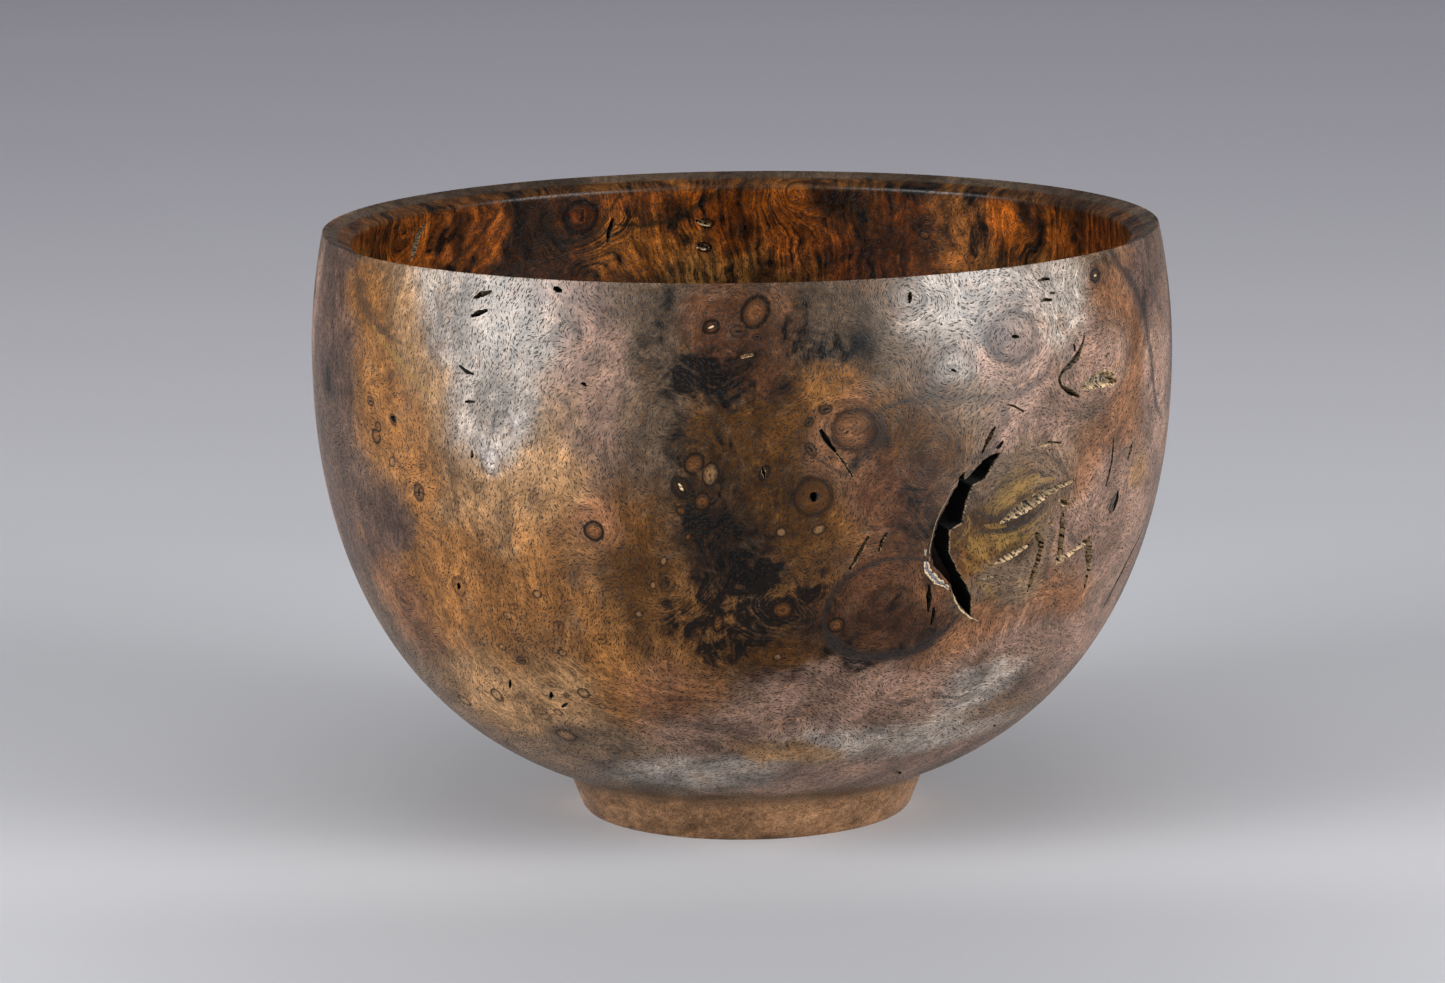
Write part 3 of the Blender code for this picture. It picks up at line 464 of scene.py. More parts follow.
def void_cutter(form, radius_at, inward, depth, path, seed):
    """Points and faces of one ragged cutter.

    Its middle follows the path, its two edges wander by noise, and the same outline is repeated at growing
    depths, narrower and wandering on, down to an uneven floor."""
    path, traced = middle_line(path)
    corners, _, _, _ = surface_frame(form, radius_at, path[:, 0], path[:, 1] * MM)
    along = np.r_[0.0, np.cumsum(np.linalg.norm(np.diff(corners, axis=0), axis=1))]
    count = max(int(along[-1] / CUT_STEP), 6) + 1
    steps = np.linspace(0, along[-1], count)
    azimuth, height, half = (np.interp(steps, along, path[:, i]) for i in range(3))
    kernel = np.array([1, 2, 3, 2, 1]) / 9
    if count > 12:
        azimuth[2:-2] = np.convolve(azimuth, kernel, "valid")
        height[2:-2] = np.convolve(height, kernel, "valid")
    point, outward, _, _ = surface_frame(form, radius_at, azimuth, height * MM)
    travel = np.gradient(point, axis=0)
    across = np.cross(outward, travel)
    across /= np.linalg.norm(across, axis=1)[:, None]
    if traced is not None:
        edge_azimuth, edge_height = (np.interp(steps, along, traced[:, i]) for i in (0, 1))
        one_edge, _, _, _ = surface_frame(form, radius_at, edge_azimuth, edge_height * MM)
        reach_over = one_edge - point
        half = np.linalg.norm(reach_over, axis=1) / MM
        across = reach_over / np.maximum(half * MM, 1e-9)[:, None]
    raggedness = RAGGEDNESS if traced is None else TRACED_RAGGEDNESS
    through = depth is None
    deep = THROUGH_DEPTH if through else depth * MM
    depths = np.r_[-CUT_START, np.array(CUT_LEVELS) * deep]
    rings = []
    for level, share in zip(depths, THROUGH_WIDTHS if through else POCKET_WIDTHS):
        under = np.full(count, max(level, 0) * 1000)
        place = np.stack([steps * 1000, under, np.full(count, seed * 3.7)], axis=1)
        jag = [layered_noise(place * (0.55, 0.5, 1) + 40 * k, seed + k, 3) for k in (1, 2, 3)]
        half_mm = half * share
        left = half_mm * (1 + raggedness * jag[0]) + FINE_JAG * jag[2]
        right = half_mm * (1 + raggedness * jag[1]) - FINE_JAG * jag[2]
        reach = level if level <= 0 or through else level * (0.85 + 0.3 * jag[2])
        centre = point + outward * (inward * np.broadcast_to(reach, count))[:, None]
        edge_left = centre + across * (np.clip(left, THINNEST_HALF, None) * MM)[:, None]
        edge_right = centre - across * (np.clip(right, THINNEST_HALF, None) * MM)[:, None]
        rings.append(np.concatenate([edge_left, edge_right[::-1]]))
    size = 2 * count
    points = np.concatenate(rings)
    i = np.arange(size)
    j = (i + 1) % size
    level = np.arange(len(rings) - 1)[:, None] * size
    walls = np.stack([level + j, level + i, level + size + i, level + size + j], axis=2).reshape(-1, 4)
    k = np.arange(count - 1)
    lid = np.stack([k, k + 1, size - 2 - k, size - 1 - k], axis=1)
    floor = lid[:, ::-1] + (len(rings) - 1) * size
    faces = np.concatenate([walls, lid, floor])
    if inward < 0:
        faces = faces[:, ::-1]
    return points, faces


def all_cutters(form):
    """One mesh of every void's cutter."""
    points, faces, start = [], [], 0
    groups = ((OUTSIDE_VOIDS, outer_radius, -1.0), (INSIDE_VOIDS, inner_radius, 1.0))
    for voids, radius_at, inward in groups:
        for seed, (depth, _, path) in enumerate(voids.values(), start=5):
            new_points, new_faces = void_cutter(form, radius_at, inward, depth, path, seed)
            points.append(new_points)
            faces += (new_faces + start).tolist()
            start += len(new_points)
    for azimuth, half_width in RIM_NICKS:
        new_points, new_faces = nick_cutter(form, azimuth, half_width)
        points.append(new_points)
        faces += [[index + start for index in face] for face in new_faces]
        start += len(new_points)
    return mesh_from("void_cutters", np.concatenate(points), faces)


# Knots that the growth lines run round: azimuth, height, radius in mm
OUTSIDE_KNOTS = [
    (-1, 146, 12), (13.8, 121.4, 5), (8.5, 105, 6), (19, 74.5, 14), (27.1, 134.6, 6), (36.7, 141.2, 8),
    (21.5, 153.6, 5), (53, 153, 3), (49, 130, 5), (54, 132, 6), (36, 95, 4), (41, 98.5, 4), (37, 86, 2),
    (45, 84, 4), (51, 80, 4), (7.5, 43, 11), (-20, 146, 4), (-56, 119, 4), (-48, 97, 3), (-19.6, 95.8, 4),
    (-6, 110, 5), (-10, 84, 3), (4.8, 75.3, 3), (-57, 68.5, 5), (-42.3, 76.8, 2), (-33, 71.5, 3),
    (-34, 38.5, 5), (-25.2, 32.3, 3), (-45, 46, 3), (64.8, 97.3, 4), (58.5, 92.5, 2), (70, 60, 6),
    (-66, 100, 5), (25, 114, 4), (6, 96, 3),
]
INSIDE_KNOTS = [
    (-154, 148, 6), (171, 152, 2), (129, 147, 3), (142.5, 149.5, 2), (-117, 150, 5), (-146, 120, 8),
    (160, 110, 9),
]

# Patches of coloured figure: azimuth, height, reach along and across in mm, tilt in degrees, colour
# The pale grey patches high on the left and right are partly painted sheen, paler where the side softboxes'
# veils fall
OUTSIDE_PATCHES = [
    (-37, 147, 17, 13, -20, "silver_and_sheen"), (-33, 124, 10, 11, 60, "silver_and_sheen"), (-20, 138, 7, 16, 10, "rose"),
    (-25, 112, 6, 17, -12, "straw"), (-47, 137, 5, 20, 25, "straw"), (-53, 124, 10, 15, 20, "amber"),
    (-58, 150, 9, 6, 0, "amber"), (-69, 138, 12, 24, 0, "plum"), (-70, 96, 15, 18, 0, "plum"),
    (-57, 90, 8, 8, 0, "plum"), (-46, 103, 7, 14, 12, "amber"), (-33, 101, 12, 7, 10, "straw"),
    (-38, 84, 9, 11, 0, "amber"), (-27, 87, 7, 14, -8, "amber"), (-19.5, 96, 4, 4, 0, "copper"),
    (-47, 74, 8, 9, 0, "amber"), (-57, 68, 8, 9, 0, "copper"), (-33, 68, 12, 10, 0, "amber"),
    (-34, 50, 15, 9, 15, "straw"), (-20, 60, 6, 15, 10, "amber"), (-46, 46, 13, 8, 25, "straw"),
    (-33, 30, 18, 6, 12, "taupe"), (-14, 88, 7, 17, 0, "honey"), (-13, 52, 8, 7, 0, "copper"),
    (-7, 70, 8, 12, 0, "amber"), (-8, 39, 9, 6, 0, "rose"), (-12, 24, 16, 7, 0, "silver_and_sheen"),
    (-12, 127, 6, 9, 0, "taupe"), (-1, 147, 8, 8, 0, "russet"), (-1, 138, 6, 4, 0, "russet"),
    (4, 152, 3, 4, 0, "copper"), (-4, 118, 7, 10, 0, "honey"), (3, 122, 7, 10, 0, "honey"),
    (4, 108, 6, 8, 0, "honey"), (13, 121, 6, 6, 0, "copper"), (9, 132, 8, 4, -10, "amber"),
    (8.5, 104, 5, 5, 0, "honey"), (7, 95, 9, 5, 0, "honey"), (22, 120, 8, 7, 0, "honey"),
    (20, 105, 8, 9, 20, "russet"), (-3, 90, 7, 7, 0, "umber"), (10, 88, 6, 7, 0, "amber"),
    (19, 75, 15, 13, 0, "russet"), (23, 80, 5, 4, 0, "copper"), (3, 62, 9, 5, 0, "honey"),
    (5, 76, 3, 3, 0, "amber"), (14, 151, 6, 7, 0, "taupe"), (30, 150, 15, 7, 0, "silver_and_sheen"),
    (34, 139, 13, 8, 0, "rose"), (20, 139, 7, 6, 0, "taupe"), (29, 127, 12, 5, 0, "taupe"),
    (39, 122, 10, 7, 0, "rose"), (46, 147, 8, 8, 0, "silver_and_sheen"), (56, 148, 6, 4, -20, "copper"),
    (62, 134, 4, 13, 5, "copper"), (56, 114, 11, 4, 35, "copper"), (52, 133, 8, 8, 0, "rose"),
    (68, 148, 8, 10, 0, "plum"), (72, 122, 11, 18, 0, "rose"), (37, 100, 10, 5, 15, "umber"),
    (36, 91, 10, 5, 5, "umber"), (31.5, 88, 4, 5, 0, "honey"), (31, 84, 4, 4, 0, "honey"),
    (38, 106, 11, 4, 5, "taupe"), (44, 92, 4, 9, 0, "taupe"), (37, 77, 8, 4, 0, "taupe"),
    (50, 104, 6, 5, 0, "copper"), (53, 93, 10, 12, 0, "rose"), (66, 84, 14, 16, 0, "rose"),
    (65, 97.5, 4, 3, 0, "straw"), (34, 65, 8, 4, -10, "copper"), (50, 69, 9, 5, 0, "copper"),
    (45, 58, 18, 5, -8, "rose"), (64, 54, 12, 10, 0, "rose"), (8, 45, 12, 7, 0, "rose"),
    (38, 47, 10, 4, 10, "silver_and_sheen"), (25, 47, 9, 6, 0, "rose"), (19, 35, 14, 5, -8, "silver_and_sheen"),
    (36, 32, 16, 5, -8, "silver_and_sheen"), (6, 33, 9, 3, -15, "straw"), (16, 21, 14, 6, 0, "rose"),
    (46, 22, 18, 9, 0, "rose"), (16, 54, 14, 3, 5, "rose"), (-31.8, 121.8, 2.4, 3, 0, "ash"),
    (-33.8, 111.5, 2.2, 3, 0, "ash"), (27.1, 134.6, 4, 4, 0, "silver_and_sheen"), (31.5, 87, 3, 4, 0, "gold"),
    (37, 90, 6, 2, 15, "gold"), (37, 101.5, 6, 2.5, 15, "gold"),
]
INSIDE_PATCHES = [
    (108, 150, 12, 8, 0, "russet"), (122, 147, 6, 6, 0, "amber"), (128, 150, 3, 7, 0, "umber"),
    (134, 150, 5, 7, 0, "amber"), (142, 148, 7, 8, 0, "rose"), (153, 149, 8, 8, 0, "honey"),
    (164, 151, 4, 6, 0, "umber"), (172, 146, 6, 7, 0, "amber"), (181, 147, 5, 8, 0, "honey"),
    (187, 151, 5, 4, -30, "amber"), (196, 139, 10, 5, 0, "straw"), (196, 150, 4, 4, 0, "copper"),
    (206, 148, 6, 6, 0, "honey"), (215, 150, 5, 9, 0, "umber"), (224, 146, 4, 9, 35, "amber"),
    (231, 146, 4, 9, 35, "copper"), (240, 148, 9, 6, 0, "amber"), (254, 155, 8, 5, 0, "russet"),
    (165, 128, 22, 9, 0, "russet"), (215, 128, 25, 9, 0, "umber"),
]

# Black ink clouds: azimuth, height, reach sideways and upwards in mm, strength
OUTSIDE_CLOUDS = [
    (-4, 95, 15, 32, 0.58), (3, 76, 22, 18, 0.62), (-3, 138, 17, 13, 0.5), (10, 146, 10, 12, 0.5),
    (5, 108, 12, 16, 0.35), (22, 102, 9, 16, 0.5), (-14, 118, 8, 14, 0.25), (19, 72, 14, 12, 0.35),
    (-68, 128, 12, 26, 0.2), (-11, 141, 6, 9, 0.77), (-10, 152, 4, 5, 0.51), (-6, 133.5, 8, 4, 0.85),
    (-1, 130.5, 7, 3, 0.77), (5, 133.5, 5, 3, 0.59), (7.5, 140, 4, 6, 0.72), (12, 141.5, 7, 4, 0.81),
    (6.8, 149, 3, 8, 0.59), (14, 148, 4, 6, 0.38), (-8.5, 157, 6, 3, 0.42), (-8.5, 121, 3, 7, 0.59),
    (-4, 118.5, 5, 2, 0.59), (-8.5, 111, 3, 5, 0.47), (-5.5, 107.5, 3, 3, 0.59), (-6, 99, 5, 4, 0.6),
    (-2.5, 98, 4, 4, 0.5), (-3, 90, 4, 4, 0.72), (1, 85, 4, 6, 0.7), (-8, 71, 7, 8, 0.62),
    (-4, 64, 6, 5, 0.51), (-4, 78, 5, 7, 0.64), (0, 74, 5, 7, 0.65), (-1, 67, 5, 5, 0.6),
    (4, 79.5, 4, 2, 0.77), (8.5, 77, 3, 3, 0.81), (2, 94, 3, 3, 0.42), (10.5, 84, 3, 4, 0.47),
    (11.3, 72, 3, 5, 0.42), (13, 63.5, 4, 3, 0.77), (17, 61, 5, 2.5, 0.77), (22, 61, 6, 2.5, 0.72),
    (27, 64.5, 4, 4, 0.64), (29.5, 69.5, 2.5, 4, 0.51), (5, 57, 10, 2.5, 0.47), (17, 117, 2, 6, 0.59),
    (13.6, 113, 2, 4, 0.59), (20, 105, 3, 5, 0.3), (23, 93, 3, 3, 0.47), (27.6, 108, 1.5, 6, 0.26),
    (-71, 125, 6, 6, 0.51), (-60, 149, 4, 4, 0.3), (-50.5, 101, 2.5, 3, 0.34), (-55, 143, 4, 3, 0.3),
    (-19, 56, 3, 3, 0.21), (56.5, 156.5, 6, 2, 0.55), (53.5, 153, 4, 3, 0.5), (66, 145, 2, 8, 0.55),
    (30.5, 103, 2, 8, 0.35), (25.2, 80, 2, 3, 0.6), (37, 88.5, 7, 1.2, 0.3), (45, 79, 8, 2, 0.3),
]
# Inside, the last cloud is painted shade on the low wall that the long split looks onto
# The clouds at heights 118 to 130 are ink that also paints the shade along the lowest part of the inside wall
# in view
INSIDE_CLOUDS = [
    (118, 147, 4, 6, 0.9), (129, 148, 2, 6, 0.6), (163, 152, 3, 5, 0.9), (167, 156, 5, 2, 0.8),
    (171, 142, 3, 5, 0.5), (189, 147, 6, 2, 0.9), (183, 156, 5, 1.5, 0.7), (210, 147, 1.6, 6, 0.8),
    (216, 147, 3, 6, 0.95), (205, 142, 5, 1.5, 0.7), (228, 148, 3, 5, 0.8), (233, 143, 3, 3, 0.8),
    (248, 151, 2, 4, 0.8), (158, 140, 6, 5, 0.5), (176, 128, 9, 5, 0.6), (120, 130, 8, 7, 0.7),
    (200, 118, 9, 7, 0.8), (240, 120, 9, 9, 0.7), (138, 50, 20, 18, 1),
]

# Drawn lines: strength, and points of (azimuth, height, half width in mm). Up to 1 is slate ink, up to 2 has
# a cream core, 3 a pewter one, and below 0 is gold
OUTSIDE_LINES = [
    (0.75, [
        (58, 158, 1), (59.5, 154.5, 1.6), (62.2, 150, 1.3), (64.2, 145, 1.5), (65.6, 140, 1.2),
        (66.6, 134, 1.5), (67.6, 128, 1.4), (68.5, 121, 1), (70, 115, 1), (73, 111, 0.3)]),
    (0.45, [
        (32.8, 152, 0.4), (31.6, 147, 1.1), (31.8, 141, 1.2), (33.4, 137.5, 1.1), (36, 135.9, 1),
        (39, 136.3, 0.9), (41.6, 138.5, 0.5), (42.6, 142, 0.3)]),
    (0.5, [
        (20, 127.5, 0.4), (23.5, 128.4, 1.2), (27.5, 127.4, 1.3), (31.5, 126.8, 1.5), (35.5, 126.4, 1.4),
        (38.7, 127.8, 1.2), (41.5, 130.5, 0.9), (43, 134.5, 0.3)]),
    (0.4, [(32.2, 125.8, 0.4), (34.2, 123.4, 1.1), (34.8, 120.5, 1.2), (33.8, 117, 0.9), (32, 114.5, 0.3)]),
    (0.65, [
        (9.8, 113.5, 0.3), (12.5, 110.5, 0.7), (14.2, 113.5, 1.2), (16.5, 117, 1.5), (17.3, 121, 1.1),
        (17.2, 126, 0.7), (20.5, 128, 0.4)]),
    (0.35, [(27.2, 121, 0.4), (28.1, 115, 1.2), (27.7, 109, 1.2), (26.2, 104, 0.4)]),
    (0.85, [
        (10.6, 71, 0.5), (11.6, 66.5, 1.4), (13.6, 63, 1.6), (17.2, 60.9, 1.5), (21.5, 60.7, 1.6),
        (25.2, 62.3, 1.6), (28.2, 65.8, 1.2), (30.2, 70, 0.4)]),
    (0.7, [
        (10.4, 72, 0.3), (10.9, 77, 0.7), (12.4, 81.5, 0.8), (15.2, 85.5, 0.7), (19, 87.4, 0.7),
        (22.6, 87, 0.5), (25.6, 85, 0.6), (26.2, 82, 0.3)]),
    (0.35, [
        (-3, 39, 0.4), (1.5, 35.6, 1.6), (7, 34.6, 1.9), (12, 36.2, 1.8), (14, 41, 1.2), (13.5, 46, 0.4)]),
    (0.3, [(19.5, 51, 0.3), (21.5, 48, 1), (24, 46, 0.9), (28.5, 47, 1.2), (33, 46, 0.4)]),
    (0.3, [(36, 43, 0.3), (41, 45, 1.5), (46, 47, 1.8), (52, 44, 1.4), (57, 40, 0.4)]),
    (0.3, [
        (-41, 30, 0.3), (-36, 28.6, 1.2), (-30, 27, 1.2), (-26.5, 28.5, 1), (-22.5, 33, 0.9),
        (-18, 35, 0.3)]),
    (0.35, [
        (51, 141, 0.4), (54.2, 140.6, 0.8), (57.2, 139.6, 0.8), (59.2, 136, 0.9), (59.4, 130, 0.9),
        (57.6, 124, 0.8), (54.5, 121, 0.5), (50, 121, 0.3)]),
    (0.4, [(46, 120, 0.3), (49, 118, 1.2), (53, 119.5, 1.4), (57, 121.5, 1), (61, 121, 0.3)]),
    (0.4, [
        (30.6, 112.5, 0.3), (35.5, 111.2, 0.8), (41, 110.4, 0.8), (44.6, 107, 0.8), (46.8, 101.5, 0.7),
        (46.8, 96, 0.3)]),
    (0.5, [(32.5, 101.5, 0.3), (35.5, 104.8, 0.6), (39.5, 105.6, 0.7), (43, 103.8, 0.5), (45, 101.6, 0.3)]),
    (0.65, [(31.5, 97, 0.3), (34, 95.2, 0.7), (37.5, 99, 0.5), (40, 101, 0.6), (43, 102, 0.3)]),
    (0.6, [(32, 92, 0.3), (35.5, 91.6, 0.5), (39, 93.2, 0.6), (42, 96, 0.3)]),
    (0.5, [(32.5, 87, 0.3), (36, 88.4, 0.6), (40, 90.6, 0.5), (42, 92.6, 0.3)]),
    (0.45, [
        (44, 92, 0.3), (44.6, 87, 0.9), (44.4, 81, 0.9), (45.6, 75, 0.8), (50, 73, 0.6), (56, 76, 0.3)]),
    (0.4, [(49, 92, 0.3), (48.4, 88, 1), (49.6, 85, 1), (53, 87, 0.8), (57, 86, 0.3)]),
    (0.35, [(28, 107.5, 0.3), (29.8, 103.5, 1.2), (28.6, 99, 1.2), (28.4, 94.5, 0.8), (29.4, 90, 0.3)]),
    (0.55, [(28.6, 112, 0.4), (30.6, 111.8, 1), (32.8, 113.4, 0.8), (34, 116, 0.3)]),
    (0.35, [(66, 158, 0.4), (68, 152, 1.8), (70, 145, 2), (74, 138, 1.8), (80, 132, 0.5)]),
    (0.5, [(-63, 157, 0.4), (-61, 151, 1.6), (-58, 146, 1.8), (-54, 141, 1.2), (-50, 139, 0.4)]),
    (0.3, [(-43, 150, 0.4), (-41, 143, 1.6), (-43, 138, 1.4), (-41, 132, 0.4)]),
    (0.3, [(-24, 131, 0.4), (-22, 126, 1.6), (-23, 120, 1.5), (-19, 116, 0.4)]),
    (0.4, [(-52, 110, 0.4), (-49, 104, 1.4), (-50, 97, 1.2), (-47, 91, 1), (-43, 88, 0.4)]),
    (0.35, [(-30, 104, 0.3), (-33, 100, 1), (-32, 94, 1.2), (-34, 88, 0.4)]),
    (0.3, [(-47, 82, 0.3), (-46, 76, 1.4), (-47, 69, 1.2), (-44, 63, 0.4)]),
    (0.35, [(-24, 93, 0.3), (-22, 88, 1.2), (-23, 82, 1.4), (-21, 76, 0.4)]),
    (0.3, [(60, 66, 0.4), (61, 61, 2), (64, 57, 2.4), (70, 55, 0.5)]),
    (-0.5, [(-61, 152, 0.4), (-57, 144, 0.9), (-52, 137, 1), (-47, 131, 0.9), (-42, 126, 0.3)]),
    (-0.5, [(35.5, 99.5, 0.8), (38, 102.2, 1.6), (41, 103.6, 1.5), (43.5, 103.2, 0.3)]),
    (-0.35, [(34.6, 97.4, 0.3), (37.5, 100.6, 0.6), (41, 102, 0.3)]),
    (-0.55, [(33.2, 93.4, 0.5), (34.4, 92.6, 1.2), (35.4, 92.2, 0.4)]),
    (-0.5, [(34.5, 90.4, 0.4), (37, 90.2, 0.8), (40, 91.6, 0.9), (42.2, 93.6, 0.4)]),
    (-0.4, [(34, 88.4, 0.3), (37, 88.4, 0.5), (40, 89.4, 0.5), (42, 90.8, 0.3)]),
    (-0.6, [(30.4, 90.2, 0.5), (31.2, 88, 1.5), (32.6, 86.4, 1.2), (33.4, 84.6, 0.4)]),
    (-0.5, [(30.2, 84.4, 0.4), (31.2, 82.8, 1), (32.2, 82, 0.4)]),
    (-0.5, [(33.6, 77.2, 0.5), (34.4, 76.4, 1), (35, 75.2, 0.4)]),
    (-0.5, [(29.6, 97, 0.3), (30, 94, 0.6), (28.8, 91, 0.3)]),
    (1.3, [
        (28.6, 108.2, 0.15), (28, 106.6, 0.2), (27.1, 104.4, 0.25), (26.5, 102, 0.15), (25.9, 100, 0.25),
        (25.3, 97.6, 0.15), (24.9, 95.2, 0.2), (24.6, 92.2, 0.15), (24.4, 89, 0.25), (24.5, 86.6, 0.15)]),
    (1.7, [
        (28.3, 79, 0.2), (28.6, 77.2, 0.3), (29.3, 74.6, 0.3), (30.1, 72.3, 0.25), (31, 70.8, 0.35),
        (32.2, 69.2, 0.35), (33.2, 68.2, 0.2)]),
    (3, [
        (23.9, 88, 0.3), (24, 86, 0.6), (24.4, 83.6, 0.9), (25.4, 81.4, 0.9), (26.5, 79.8, 0.7),
        (27.8, 78.2, 0.4)]),
]
INSIDE_LINES = [
    (0.9, [(181, 157, 0.4), (186, 150, 0.8), (190, 146, 1), (195, 144.5, 0.9), (199, 145, 0.4)]),
    (0.85, [
        (199, 154, 0.3), (201, 148, 0.8), (203, 143, 0.9), (208, 141, 0.8), (211, 146, 0.9),
        (210, 152, 0.4)]),
    (0.8, [(219, 156, 0.4), (222, 149, 0.9), (226, 143, 1), (230, 139, 0.4)]),
    (0.8, [(246, 157, 0.4), (249, 152, 0.9), (251, 148, 0.9), (249, 144, 0.4)]),
    (0.7, [(160, 157, 0.4), (162, 150, 1), (160, 143, 1.2), (163, 136, 0.4)]),
    (0.6, [(146, 157, 0.3), (144, 150, 0.7), (146, 143, 0.8), (143, 136, 0.3)]),
]

# Burl eyes by kind: pupil (-1 black, 1 pale), outline darkness, body (-1 slate, 1 orange, 2 cream)
EYE_KINDS = {
    "slit": (0.75, 1.0, 0.3), "orange": (0.0, 0.8, 1.0), "tan": (0.0, 0.65, 1.25), "dark": (-1.0, 0.6, -0.9),
    "hoop": (-0.2, 0.55, 0.35), "ghost": (0.0, 0.3, -0.05), "ring": (-0.6, 0.4, 0.1),
    "ripple": (-0.8, 0.5, 0.0), "veil": (-0.25, 0.3, -0.1),
}
